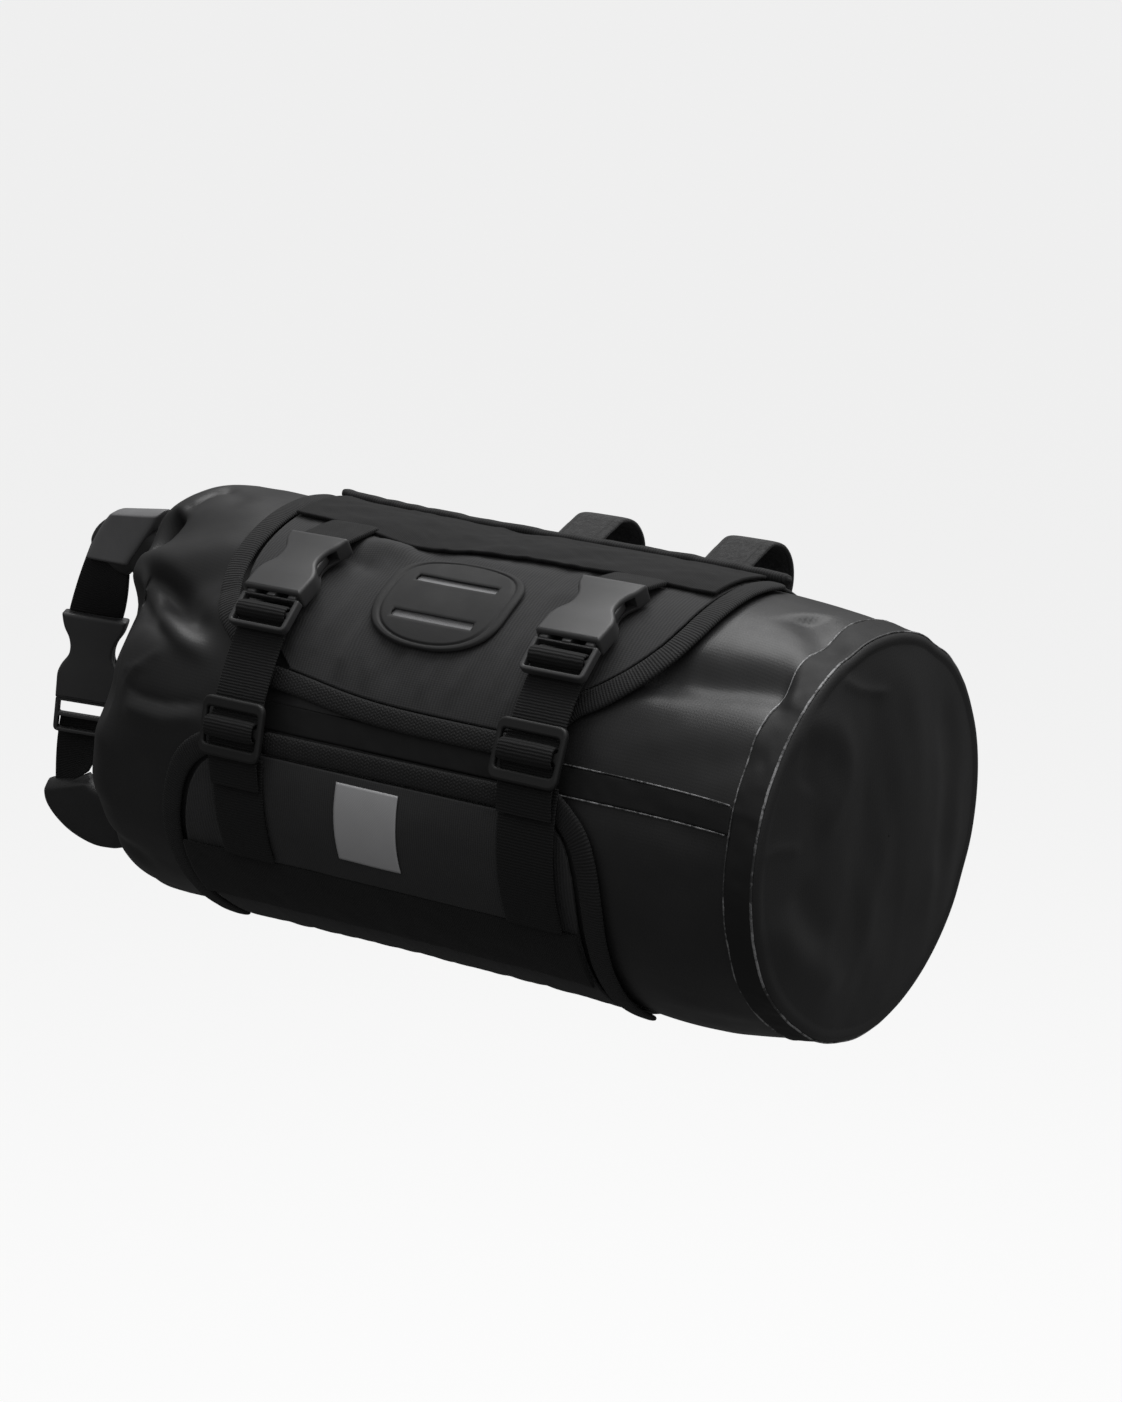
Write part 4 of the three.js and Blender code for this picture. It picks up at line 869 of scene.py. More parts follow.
FLAP = np.array([[26, 0.64, 0.58], [34, 0.77, 0.67], [40, 0.865, 0.77], [48, 0.93, 0.86], [58, 0.965, 0.92],
                 [72, 0.985, 0.945], [100, 1.01, 0.95]])
LOWER = np.array([[-66, 1.07, 0.78], [-46, 1.075, 0.79], [-24, 1.06, 0.815], [-10, 1.02, 0.825],
                  [2, 0.95, 0.8], [9, 0.85, 0.745], [14, 0.7, 0.66]])
BACK = np.array([[95, 1.005, 0.95], [140, 1.01, 0.94], [200, 1.04, 0.9], [294, 1.07, 0.78]])
BINDING, HEM = 10.0, 9.0
EDGE_TAPE_THICK, EDGE_TAPE_LIFT, TOP_EDGE_WIDTH, TOP_EDGE_THICK, TOP_EDGE_LIFT = 3.0, 1.1, 9.0, 5.0, 3.0
HEM_ANGLE, SEAM_ANGLE, BAND_END = 23.5, 80.0, 104.0
POCKET_TOP, POCKET_BOTTOM, LOWER_BAND_BOTTOM, BOTTOM_SEAM = 14.0, -21.5, -41.0, -66.0
POCKET_LEFT, POCKET_RIGHT = HARNESS_MIDDLE + 0.55 * HARNESS_HALF, HARNESS_MIDDLE - 0.53 * HARNESS_HALF


def degrees_of(length):
    return math.degrees(length / R)


POCKET_CLOTH_TOP = POCKET_TOP - degrees_of(HEM + 0.6)
PANEL_INSET = BINDING + 1.8
FLAP_TOP = (SEAM_ANGLE + BAND_END) / 2
FLAP_BOTTOM = HEM_ANGLE + degrees_of(HEM / 2 + 0.6)


def edge_along(table, angle, left, inset):
    """Where a panel's left or right edge runs, inset millimetres in from it."""
    angle = np.asarray(angle, float)
    column = 1 if left else 2
    before, at, after = (table_row(table, angle + step)[..., column] * HARNESS_HALF for step in (-1, 0, 1))
    out = at - inset * np.hypot(1, (after - before) / math.radians(2) / R)
    return HARNESS_MIDDLE + out if left else HARNESS_MIDDLE - out


def hem_rise(along):
    """How far the flap's hem climbs towards the mouth, in degrees."""
    return 5.5 / (1 + np.exp(-(np.asarray(along, float) - 222) / 16))


def seam_dip(along):
    """How far the top band's seam hangs down beside the buckle, in degrees."""
    return 4.5 * np.exp(-((np.asarray(along, float) - 214) / 30) ** 2)


def panel_grid(table, low, high, inset, cols, rows, lift, shift=None):
    """A panel's outer face. lift(along, angle, u, v) is its height over the drum, and shift moves its
    low edge."""
    angles = np.linspace(low, high, rows)[:, None]
    u = np.linspace(0, 1, cols)[None, :]
    right, left = edge_along(table, angles, False, inset), edge_along(table, angles, True, inset)
    along = right + (left - right) * u
    angle = np.broadcast_to(angles, along.shape)
    v = (angle - low) / (high - low)
    if shift is not None:
        angle = angle + shift(along) * (1 - v) ** 2
    p = on_harness(along, angle, lift(along, angle, np.broadcast_to(u, along.shape), v))
    return p, uv_map(along, np.radians(angle) * R)


def near_edge(u, share=0.06):
    """From 0 at a panel's left and right edges to 1 away from them."""
    return np.minimum(1, np.minimum(u, 1 - u) / share)


def dents(along, angle, folds):
    """Soft folds of the harness's cloth: along (mm), angle, reach, spread (mm), turn, height (mm)."""
    high = np.zeros(along.shape)
    for at, place, reach, spread, turn, up in folds:
        high += up * bell(along - at, np.radians(angle - place) * R, reach, spread, turn)
    return high


def ridge_noise(along, angle, *layers):
    """Wrinkles of a panel, from layers of noise: strength, size along and round (mm), seed."""
    total = 0
    for strength, wide, tall, seed in layers:
        q = np.stack([along / wide, np.radians(angle) * R / tall, 0 * along], -1)
        total = total + strength * value_noise(q, 1.0, seed)
    return total


FLAP_FOLDS = [
    (226, 73, 17, 6.0, 8, 4.2), (236, 66, 14, 4.0, 14, -1.6),
    (262, 62, 7, 20, 8, 2.2), (246, 50, 5, 16, -8, 1.2), (214, 38, 4, 14, 4, 1.0),
    (200, 33, 3.5, 12, -6, 0.9),
    (188, 36, 4, 14, 3, -0.8), (170, 32, 4, 12, 0, 0.9), (154, 35, 4, 14, 6, 0.8), (134, 40, 4, 16, -4, 0.9),
    (88, 60, 6, 18, 4, 0.9), (226, 68, 12, 6, 20, 0.8), (120, 70, 12, 5, -14, 0.7), (176, 76, 24, 4, 2, 0.8),
    (228, 44, 5, 16, 12, 1.1), (146, 55, 5, 16, 0, 0.7), (206, 56, 4, 16, 0, -0.7), (70, 68, 8, 14, 10, 0.8)]


TOP_BAND_FOLDS = [(196, 96, 10, 12, 0, -1.6), (228, 92, 14, 5, 30, 0.9), (140, 90, 16, 5, -24, 0.9)]


def flap_lift(along, angle, u, v):
    wrinkles = ridge_noise(along, angle, (0.6, 8.0, 26.0, 11), (0.45, 4.0, 15.0, 12))
    calm = np.clip((v - 0.02) / 0.1, 0, 1)
    return PANEL + (dents(along, angle, FLAP_FOLDS) + wrinkles * 0.8) * near_edge(u) * calm


def top_band_lift(along, angle, u, v):
    around = np.radians(angle) * R
    wrinkles = ridge_noise(along + 1.2 * around, angle, (1.0, 11.0, 8.0, 21))
    wrinkles = wrinkles + ridge_noise(along - around, angle, (0.6, 5.0, 5.0, 22))
    return COVER + wrinkles * 0.5 * near_edge(u, 0.05) + dents(along, angle, TOP_BAND_FOLDS)


def back_lift(along, angle, u, v):
    return PANEL + ridge_noise(along, angle, (0.6, 22.0, 18.0, 31), (0.3, 8.0, 8.0, 32)) * near_edge(u)


def lower_lift(along, angle, u, v):
    return PANEL + ridge_noise(along, angle, (0.4, 7.0, 24.0, 41), (0.2, 3.5, 12.0, 42)) * near_edge(u)


def band_lift(along, angle, u, v):
    return COVER + ridge_noise(along, angle, (0.35, 10.0, 7.0, 51)) * near_edge(u, 0.05)


# Panels: name, node, edges, low and high angle, inset (mm), columns, rows, height, the low edge's shift,
# cloth and thickness
PANELS = [
    ("flap_cloth", "flap", FLAP, FLAP_BOTTOM, FLAP_TOP, PANEL_INSET, 200, 110, flap_lift, hem_rise,
     "ripstop", 1.2),
    ("top_band_cloth", "top_band", FLAP, SEAM_ANGLE, BAND_END, PANEL_INSET, 180, 44, top_band_lift,
     lambda along: -seam_dip(along), "band", 1.4),
    ("back_cloth", "harness_back", BACK, FLAP_TOP + degrees_of(0.6), 360 + BOTTOM_SEAM, PANEL_INSET, 90, 130,
     back_lift, None, "ripstop", 1.4),
    ("lower_cloth", "lower_panel", LOWER, BOTTOM_SEAM + 0.5, POCKET_CLOTH_TOP, PANEL_INSET + 1.5, 170, 120,
     lower_lift, None, "ripstop", 1.2),
    ("lower_band_cloth", "lower_band", LOWER, LOWER_BAND_BOTTOM, POCKET_BOTTOM - degrees_of(0.3),
     BINDING + 2.4, 160, 30, band_lift, None, "band", 1.2),
]
for name, replaced, *shape, material, thick in PANELS:
    p, uv = panel_grid(*shape)
    panel = add_grid(name, p, uv, MAT[material], thick=thick)
    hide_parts(replaced)


def pocket_lift(along, angle):
    u = np.clip((along - POCKET_RIGHT) / (POCKET_LEFT - POCKET_RIGHT), 0, 1)
    v = np.clip((angle - POCKET_BOTTOM) / (POCKET_CLOTH_TOP - POCKET_BOTTOM), 0, 1)
    return COVER + 3.0 * np.sin(math.pi * u) * np.sin(math.pi * v)


def pocket_grid():
    along, angle = np.meshgrid(np.linspace(POCKET_RIGHT, POCKET_LEFT, 150),
                               np.linspace(POCKET_BOTTOM, POCKET_CLOTH_TOP, 60))
    u = (along - POCKET_RIGHT) / (POCKET_LEFT - POCKET_RIGHT)
    wrinkles = ridge_noise(along, angle, (0.35, 20.0, 14.0, 61)) * near_edge(u)
    p = on_harness(along, angle, pocket_lift(along, angle) + wrinkles)
    return p, uv_map(along, np.radians(angle) * R)


p, uv = pocket_grid()
pocket = add_grid("pocket_cloth", p, uv, MAT["pocket"], thick=1.2)
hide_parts("pocket")

LABEL_ALONG, LABEL_ANGLE, LABEL_HALF, LABEL_LIFT = HARNESS_MIDDLE + 0.075 * HARNESS_HALF, -4, 16.5, 0.9


def label_grid():
    u, v = np.meshgrid(np.linspace(-1, 1, 34), np.linspace(-1, 1, 34))
    angle = LABEL_ANGLE + math.degrees(1) * v * LABEL_HALF / (R + COVER)
    along = LABEL_ALONG + u * LABEL_HALF
    soft = ridge_noise(along, angle, (0.25, 14.0, 14.0, 71))
    p = on_harness(along, angle, pocket_lift(along, angle) + LABEL_LIFT + soft)
    return p, uv_map(u * LABEL_HALF, v * LABEL_HALF)


p, uv = label_grid()
label = add_grid("label_square", p, uv, MAT["reflector"], thick=0.4)
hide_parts("reflective_label")


def tape_on_drum(name, line, width, thick, lift, material, slot, steps=160, wobble=0.12, seed=1,
                 surface=on_harness, points=28):
    """A flat oval tape on the drum along a line of (along, angle)."""
    flat = smooth_line([(a, math.radians(b) * R, 0) for a, b in line], steps)
    tangent = frames_along(flat)
    length = lengths_along(flat)
    from_end = np.clip(np.minimum(length, length[-1] - length) / (width * 0.4), 0.02, 1)
    end = np.sqrt(1 - (1 - from_end) ** 2)[:, None]
    across, up = round_section(points, 0.7, 0.8)
    across, up = across * end, 0.5 + up * end
    noise = value_noise(flat * 1.0, 6.0, seed) * wobble
    along = flat[:, :1] - tangent[:, 1:2] * across * width
    angle = np.degrees((flat[:, 1:2] + tangent[:, 0:1] * across * width) / R)
    return loft(name, surface(along, angle, lift + up * thick + noise[:, None]), material)


def edge_line(table, low, high, left):
    return [(float(edge_along(table, a, left, BINDING / 2)), a) for a in np.linspace(low, high, 24)]


def hem_line(table, angle, inset):
    left = float(edge_along(table, angle, True, 0)) - inset
    right = float(edge_along(table, angle, False, 0)) + inset
    return [(right + (left - right) * t, angle) for t in np.linspace(0, 1, 6)]


hem_ends = hem_line(FLAP, HEM_ANGLE + 3, 0)
hem_curve = [(a, HEM_ANGLE + float(hem_rise(a))) for a in np.linspace(hem_ends[0][0], hem_ends[-1][0], 16)]
hem = tape_on_drum("hem_tape", hem_curve, HEM, EDGE_TAPE_THICK, EDGE_TAPE_LIFT, MAT["knit"], "binding")
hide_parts("flap_hem")
BINDING_SHAPE = (BINDING, EDGE_TAPE_THICK, EDGE_TAPE_LIFT, MAT["binding"], "binding", 220)
binding_end = FLAP_BOTTOM + degrees_of(BINDING / 2)
for side, left in (("left", True), ("right", False)):
    line = edge_line(FLAP, binding_end + (5.0 if left else 0.0), BAND_END, left)
    tape = tape_on_drum("flap_edge_" + side, line, *BINDING_SHAPE)
    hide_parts("flap_binding_" + side)
    line = edge_line(LOWER, BOTTOM_SEAM + 1, POCKET_TOP - degrees_of(1.1), left)
    tape = tape_on_drum("lower_edge_" + side, line, *BINDING_SHAPE)
    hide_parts("lower_binding_" + side)
line = [(a, POCKET_TOP - degrees_of(HEM / 2)) for a in np.linspace(POCKET_RIGHT, POCKET_LEFT, 5)]
tape = tape_on_drum("pocket_edge", line, HEM, EDGE_TAPE_THICK, 2.4, MAT["knit"], "binding")
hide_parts("pocket_binding")
TOP_EDGE_ANGLE = BAND_END + degrees_of(TOP_EDGE_WIDTH / 2 + 0.6)
line = hem_line(BACK, TOP_EDGE_ANGLE, 3.0)
tape = tape_on_drum("top_edge_tape", line, TOP_EDGE_WIDTH, TOP_EDGE_THICK, TOP_EDGE_LIFT, MAT["binding"],
                    "binding", wobble=0.3)
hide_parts("top_edge")

# Welds: thin beads along the tapes' edges, coloured pale as a painted highlight

ROUND = range(-180, 181, 3)
BESIDE_SEAM_TAPE = math.degrees((SEAM_TAPE_HALF + 0.1) / R)
SHOWN = range(14, 106, 6)
# name, node, line of (along, angle), width and lift in mm
WELDS = [
    ("weld_rim", "base_tape", [(-0.9, a) for a in ROUND], 1.1, 0.9),
    ("weld_tape_edge", "base_tape", [(12.3, a) for a in ROUND], 0.7, 0.35),
    ("weld_seam_upper", "seam_tape", [(at, SEAM_TAPE_ANGLE + BESIDE_SEAM_TAPE) for at in SHOWN], 0.6, 0.35),
    ("weld_seam_lower", "seam_tape", [(at, SEAM_TAPE_ANGLE - BESIDE_SEAM_TAPE) for at in SHOWN], 0.6, 0.35),
]


def on_rim(along, angle, lift):
    """The drum's surface, carried on past its base end."""
    p = on_drum(np.maximum(along, 0), angle, lift)
    p[..., 0] = -along
    return p


# Each bead takes the pale weld material: a painted highlight along the tape's edge.
for name, replaced, line, width, lift in WELDS:
    bead = tape_on_drum(name, line, width, 0.8, lift, MAT["weld"], "tape", 420, 0.2, 3, on_rim, 8)
    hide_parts(replaced)

# Light patch

PATCH_MIDDLE, PATCH_ANGLE = HARNESS_MIDDLE + 0.025 * HARNESS_HALF, 57.3
PATCH_HALF, PATCH_HEIGHT = 34.0, 24.0
PATCH_LIFT = PANEL + 2.9
# The outline's powers sideways, upwards and downwards
PATCH_SIDE, PATCH_UP, PATCH_DOWN = 2.2, 4.2, 3.0
PATCH_RIM, PATCH_GROOVE, PATCH_LIP = 1.2, 3.2, 1.4
SLOT_UP, SLOT_HALF_LENGTH, SLOT_HALF_HEIGHT = 10, 21.0, 1.6


def patch_place(x, y, lift):
    return on_harness(PATCH_MIDDLE + x, PATCH_ANGLE + np.degrees(y / (R + PANEL)), lift)


def light_patch():
    """The patch's outer face: a grid with two slots left out, its rim rolled down."""
    u, v = np.meshgrid(np.linspace(-1, 1, 121), np.linspace(-0.998, 0.998, 145))
    upright = np.abs(v) ** np.where(v > 0, PATCH_UP, PATCH_DOWN)
    x, y = u * (PATCH_HALF * (1 - upright) ** (1 / PATCH_SIDE)), v * PATCH_HEIGHT
    share = (np.abs(x) / PATCH_HALF) ** PATCH_SIDE + upright
    inside = (1 - share ** (1 / 2.7)) * 0.5 * (PATCH_HALF + PATCH_HEIGHT)
    rim = np.where(inside < PATCH_RIM, -PATCH_RIM * (1 - inside / PATCH_RIM) ** 2, 0.0)
    groove = -0.7 * np.exp(-((inside - PATCH_GROOVE) / 0.55) ** 2)
    from_slot = np.minimum(np.abs(y - SLOT_UP), np.abs(y + SLOT_UP))
    beside = np.maximum(from_slot - SLOT_HALF_HEIGHT, np.abs(x) - SLOT_HALF_LENGTH)
    lip = np.where(beside < PATCH_LIP, -0.5 * np.clip(1 - beside / PATCH_LIP, 0, 1) ** 2, 0.0)
    soft = 0.15 * value_noise(np.stack([x, y, 0 * x], -1), 9.0, 81)
    p = patch_place(x, y, PATCH_LIFT + rim + groove + lip + soft)
    keep = (beside[:-1, :-1] > 0) & (beside[1:, 1:] > 0)
    faces = grid_faces(*x.shape, False).reshape(*keep.shape, 4)
    corners = loop_uv(uv_map(x, y)).reshape(*keep.shape, 4, 2)
    return p, faces[keep], corners[keep].reshape(-1, 2)


p, faces, corners = light_patch()
patch = add_mesh("patch", p.reshape(-1, 3), faces, MAT["rubber"], corners)
face_out(patch)
solidify(patch, 1.4)
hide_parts("light_patch")

x, y = np.meshgrid(np.linspace(-24, 24, 60), np.linspace(-15, 15, 40))
p = patch_place(x, y, PANEL + 1.2)
web = add_grid("patch_web", p, uv_map(x, y), MAT["pale"], thick=0.5)
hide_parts("light_patch_web")

# Straps and hardware

STRAP_ALONG = {"left": 255.0, "right": 103.0}
STRAP_ANGLES = {"left": (46.3, 62.0, 13.5), "right": (49.3, 65.0, 22.5)}
STRAP_THICK, BUCKLE_SIDE, BUCKLE_THICK = 1.6, 2.0, 9.0
SOCKET, LADDER, BEND = 38.0, 17.0, 16.0
GLIDE_SIDE, GLIDE, GLIDE_THICK, BAR, TAIL = 3.0, 26.0, 3.0, 4.0, 12
BUCKLE_LIFT = PANEL + 1.1 + BUCKLE_THICK / 2 + 4.4
LOWER_LIFT = COVER + 0.6 + STRAP_THICK / 2
GLIDE_LIFT = LOWER_LIFT + 2 * STRAP_THICK + 0.9 + GLIDE_THICK / 2
CLEAR = 0.3 + STRAP_THICK / 2
BUCKLE_WIDTH = STRAP + 2 * BUCKLE_SIDE
CAVITY = BUCKLE_THICK * 0.55
SCALLOP = BUCKLE_WIDTH * 0.17
LADDER_THICK = BUCKLE_THICK * 0.45
RAIL = 2.0


def seat_on_drum(along, angle, lift, face):
    out = outwards(face)
    across = np.array([1.0, 0, 0])
    return on_harness(along, angle, lift), np.stack([across, np.cross(out, across), out], 1)


def from_seat(seat, local):
    at, axes = seat
    return at + np.asarray(local, float) @ axes.T


def rounded(corners, radii, steps=5):
    """A closed outline with round corners, radii one a corner."""
    pts = np.asarray(corners, float)
    out = []
    for i, p in enumerate(pts):
        a, b = pts[i - 1] - p, pts[(i + 1) % len(pts)] - p
        la, lb = np.linalg.norm(a), np.linalg.norm(b)
        r = min(radii[i] if hasattr(radii, "__len__") else radii, la * 0.45, lb * 0.45)
        start, end = p + a / la * r, p + b / lb * r
        for t in np.linspace(0, 1, steps):
            out.append((1 - t) ** 2 * start + 2 * t * (1 - t) * p + t * t * end)
    return np.array(out)


def box_corners(x0, y0, x1, y1):
    return [(x0, y0), (x1, y0), (x1, y1), (x0, y1)]


def plate_mesh(name, outline, holes, thick, bevel, resolution=3):
    """A flat plate with holes and bevelled edges, in its own plane, in metres."""
    curve = bpy.data.curves.new(name, "CURVE")
    curve.dimensions, curve.fill_mode = "2D", "BOTH"
    curve.extrude = (thick / 2 - bevel) * 0.001
    curve.bevel_depth, curve.bevel_resolution = bevel * 0.001, resolution
    curve.offset = -bevel * 0.001
    for ring in [outline, *holes]:
        spline = curve.splines.new("POLY")
        spline.points.add(len(ring) - 1)
        flat = np.zeros((len(ring), 4))
        flat[:, :2] = np.asarray(ring) * 0.001
        flat[:, 3] = 1
        spline.points.foreach_set("co", flat.ravel())
        spline.use_cyclic_u = True
    holder = bpy.data.objects.new(name, curve)
    bpy.context.scene.collection.objects.link(holder)
    mesh = evaluated_mesh(holder)
    bpy.data.objects.remove(holder)
    return mesh


def evaluated_mesh(obj):
    return bpy.data.meshes.new_from_object(obj.evaluated_get(bpy.context.evaluated_depsgraph_get()))


def box_mesh(name, low, high):
    x0, y0, z0 = np.asarray(low) * 0.001
    x1, y1, z1 = np.asarray(high) * 0.001
    verts = [(x, y, z) for z in (z0, z1) for x, y in box_corners(x0, y0, x1, y1)]
    faces = [(0, 3, 2, 1), (4, 5, 6, 7), (0, 1, 5, 4), (1, 2, 6, 5), (2, 3, 7, 6), (3, 0, 4, 7)]
    mesh = bpy.data.meshes.new(name)
    mesh.from_pydata(verts, [], faces)
    return mesh


def join_meshes(name, meshes):
    bm = bmesh.new()
    for mesh, matrix in meshes:
        before = len(bm.verts)
        bm.from_mesh(mesh)
        bm.verts.ensure_lookup_table()
        if matrix is not None:
            bmesh.ops.transform(bm, matrix=matrix, verts=bm.verts[before:])
    bmesh.ops.remove_doubles(bm, verts=bm.verts, dist=1e-6)
    out = bpy.data.meshes.new(name)
    bm.to_mesh(out)
    bm.free()
    return out


SHARP_FROM = math.radians(40)


def place_mesh(name, mesh, seat, material):
    """A piece of a buckle, seated and shaded smooth up to its sharp edges."""
    at, axes = seat
    mesh.transform(Matrix([list(axes[i]) + [float(to_frame(at)[i])] for i in range(3)] + [[0, 0, 0, 1]]))
    mesh.materials.clear()
    mesh.materials.append(material)
    mesh.polygons.foreach_set("use_smooth", [True] * len(mesh.polygons))
    mesh.set_sharp_from_angle(angle=SHARP_FROM)
    return add_object(name, mesh)


def subtract(mesh, cutter):
    """One mesh less another."""
    a = bpy.data.objects.new("cut_a", mesh)
    b = bpy.data.objects.new("cut_b", cutter)
    for obj in (a, b):
        bpy.context.scene.collection.objects.link(obj)
    cut = a.modifiers.new("cut", "BOOLEAN")
    cut.operation, cut.object, cut.solver = "DIFFERENCE", b, "EXACT"
    out = evaluated_mesh(a)
    bpy.data.objects.remove(a)
    bpy.data.objects.remove(b)
    return out


# A socket's side: steps in from the full width as shares of the scallop, and the place along its length
SCALLOP_SIDE = [(0.3, 0.4), (0.95, 0.52), (1, 0.62), (0.8, 0.72), (0.3, 0.82)]
SIDE_RADII = [1, 3, 3, 3, 3, 3, 2, 2, 1.4]


def socket_mesh(length):
    half = BUCKLE_WIDTH / 2
    right = [(half - 0.2, 0), (half, 0.3 * length)]
    right += [(half - SCALLOP * inwards, at * length) for inwards, at in SCALLOP_SIDE]
    right += [(half - 0.5, 0.9 * length), (half + 0.4, length)]
    outline = rounded(right + [(-x, y) for x, y in right[::-1]], SIDE_RADII + SIDE_RADII[::-1], 4)
    body = plate_mesh("socket", outline, [], BUCKLE_THICK, 1.6, 4)
    inner = half - BUCKLE_SIDE
    return subtract(body, box_mesh("inner", (-inner, -5, -CAVITY / 2), (inner, 0.82 * length, CAVITY / 2)))


PLAY = 0.3


def plug_mesh(length, ladder, bend):
    """A ladder lock with two side prongs and a guide between them."""
    half = BUCKLE_WIDTH / 2
    top = -PLAY - (LADDER_THICK / 2) * math.sin(math.radians(bend))
    opening = (ladder - 3 * RAIL) / 2
    hole_half = STRAP / 2 - PLAY
    outline = rounded(box_corners(-half, -ladder, half, top), [3.0, 3.0, 1.2, 1.2], 6)
    holes = [rounded(box_corners(-hole_half, low, hole_half, low + opening), 0.8, 4)
             for low in (-ladder + RAIL, -ladder + 2 * RAIL + opening)]
    frame = plate_mesh("ladder", outline, holes, LADDER_THICK, 0.75, 3)
    reach, side, width = length * 0.74, half - BUCKLE_SIDE - PLAY, BUCKLE_WIDTH * 0.14
    root = top - RAIL / 2
    prong = [(side - width, root), (side, root), (side, length * 0.3), (side - SCALLOP * 0.4, length * 0.46),
             (side - SCALLOP * 0.5, length * 0.58), (side - width * 0.7, reach), (side - width * 1.5, reach)]
    thick = CAVITY - 2 * PLAY
    arms = [plate_mesh("prong", rounded(line, 1.2, 4), [], thick, 0.9, 3)
            for line in (prong, [(-x, y) for x, y in prong[::-1]])]
    middle = rounded(box_corners(-width / 2, root, width / 2, reach * 0.7 + root), 0.8, 3)
    guide = plate_mesh("guide", middle, [], thick, 0.5, 2)
    bent = Matrix.Rotation(math.radians(bend), 4, "X")
    return join_meshes("plug", [(frame, bent), (arms[0], None), (arms[1], None), (guide, None)])


def glide_mesh():
    half, hole_half = STRAP / 2 + GLIDE_SIDE, STRAP / 2 + PLAY
    outline = rounded(box_corners(-half, -GLIDE / 2, half, GLIDE / 2), 4.5, 8)
    inner = GLIDE / 2 - 5.0
    holes = [rounded(box_corners(-hole_half, low, hole_half, high), 1.6, 5)
             for low, high in ((BAR / 2, inner), (-inner, -BAR / 2))]
    return plate_mesh("glide", outline, holes, GLIDE_THICK, 1.1, 4)


WEB_CORNER = 0.45


def ribbon(name, line, x, width, thick, material, steps):
    """A strap level across, along a line of points in the YZ plane."""
    path = smooth_line(line, steps)
    tangent = frames_along(path)
    normal = np.stack([0 * path[:, 0], -tangent[:, 2], tangent[:, 1]], 1)
    across, out = round_section(36, WEB_CORNER, WEB_CORNER)
    rings = []
    for at, outside in zip(path, normal):
        ring = at + outside * (out * thick)[:, None]
        ring[:, 0] = x + across * width
        rings.append(ring)
    return loft(name, np.array(rings), material)


def strap_point(along, angle, lift):
    at = np.array(on_harness(along, angle, lift), float)
    at[0] = 0
    return at


def seat_point(seat, y, z):
    p = from_seat(seat, (0, y, z))
    p[0] = 0
    return p


def over_bar(middle, half_bar, half_thick):
    beside = half_bar + 1.9 * CLEAR
    over = half_thick + 1.15 * CLEAR
    half = [(beside, -0.3 * over), (beside - 0.1 * CLEAR, 0.45 * over), (half_bar + 0.4 * CLEAR, over)]
    back = [(-y, z) for y, z in half[::-1]]
    return [(middle + y, z) for y, z in half + back]


for side in ("left", "right"):
    along = STRAP_ALONG[side]
    buckle, face, glide = STRAP_ANGLES[side]
    buckle_seat = seat_on_drum(along, buckle, BUCKLE_LIFT, face)
    ladder_seat = seat_on_drum(along, buckle, BUCKLE_LIFT, face - BEND)
    glide_seat = seat_on_drum(along, glide, GLIDE_LIFT, glide)

    piece = place_mesh("buckle_socket_" + side, socket_mesh(SOCKET), buckle_seat, MAT["buckle"])
    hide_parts("socket_" + side)
    piece = place_mesh("buckle_plug_" + side, plug_mesh(SOCKET, LADDER, BEND), buckle_seat, MAT["buckle"])
    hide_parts("plug_" + side)
    piece = place_mesh("glide_" + side, glide_mesh(), glide_seat, MAT["dark_plastic"])
    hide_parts("tri_glide_" + side)

    doubled = 2 * STRAP_THICK
    lift = PANEL + 0.3 + doubled / 2
    line = [strap_point(along, SEAM_ANGLE - degrees_of(0.6), lift),
            strap_point(along, SEAM_ANGLE - degrees_of(STRAP_THICK), lift + 0.3),
            seat_point(buckle_seat, SOCKET + STRAP_THICK, -0.3), seat_point(buckle_seat, SOCKET + 0.6, 0)]
    piece = ribbon("anchor_web_" + side, line, -along, STRAP - 1, doubled, MAT["webbing"], 40)
    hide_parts("anchor_" + side)

    opening = (LADDER - 3 * RAIL) / 2
    bar = -LADDER + 1.5 * RAIL + opening
    under = -LADDER_THICK / 2 - 1.3 * CLEAR
    end = RAIL + opening
    glide_under = -GLIDE_THICK / 2 - 1.2 * CLEAR
    edge = GLIDE / 2
    on_buckle = [(bar + 0.6 * end, under - CLEAR), *over_bar(bar, RAIL / 2, LADDER_THICK / 2),
                 (bar - 0.8 * end, under), (bar - end - 2 * CLEAR, under - 0.6 * CLEAR)]
    on_glide = [(edge + 2 * CLEAR, glide_under - 0.3 * CLEAR), (edge - GLIDE_SIDE, glide_under),
                *over_bar(0, BAR / 2, GLIDE_THICK / 2),
                (-edge + GLIDE_SIDE, glide_under), (-edge - 2 * CLEAR, glide_under - 0.3 * CLEAR)]
    tail = glide - degrees_of((edge + TAIL) * 0.9)
    line = [seat_point(ladder_seat, y, z) for y, z in on_buckle]
    line += [seat_point(glide_seat, y, z) for y, z in on_glide]
    line.append(strap_point(along, tail, LOWER_LIFT + STRAP_THICK + 0.6))
    piece = ribbon("strap_web_" + side, line, -along, STRAP - 1, STRAP_THICK, MAT["webbing"], 320)
    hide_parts("strap_" + side)

    top = glide - degrees_of(GLIDE * 0.4)
    angles = np.linspace(POCKET_BOTTOM + degrees_of(1), top, 14)
    edges = np.array([along - STRAP / 2, along + STRAP / 2])
    line = [strap_point(along, a, LOWER_LIFT + float(np.max(pocket_lift(edges, a))) - COVER) for a in angles]
    piece = ribbon("lower_web_" + side, line, -along, STRAP, STRAP_THICK, MAT["webbing"], 120)
    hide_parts("lower_strap_" + side)

# Handlebar loops

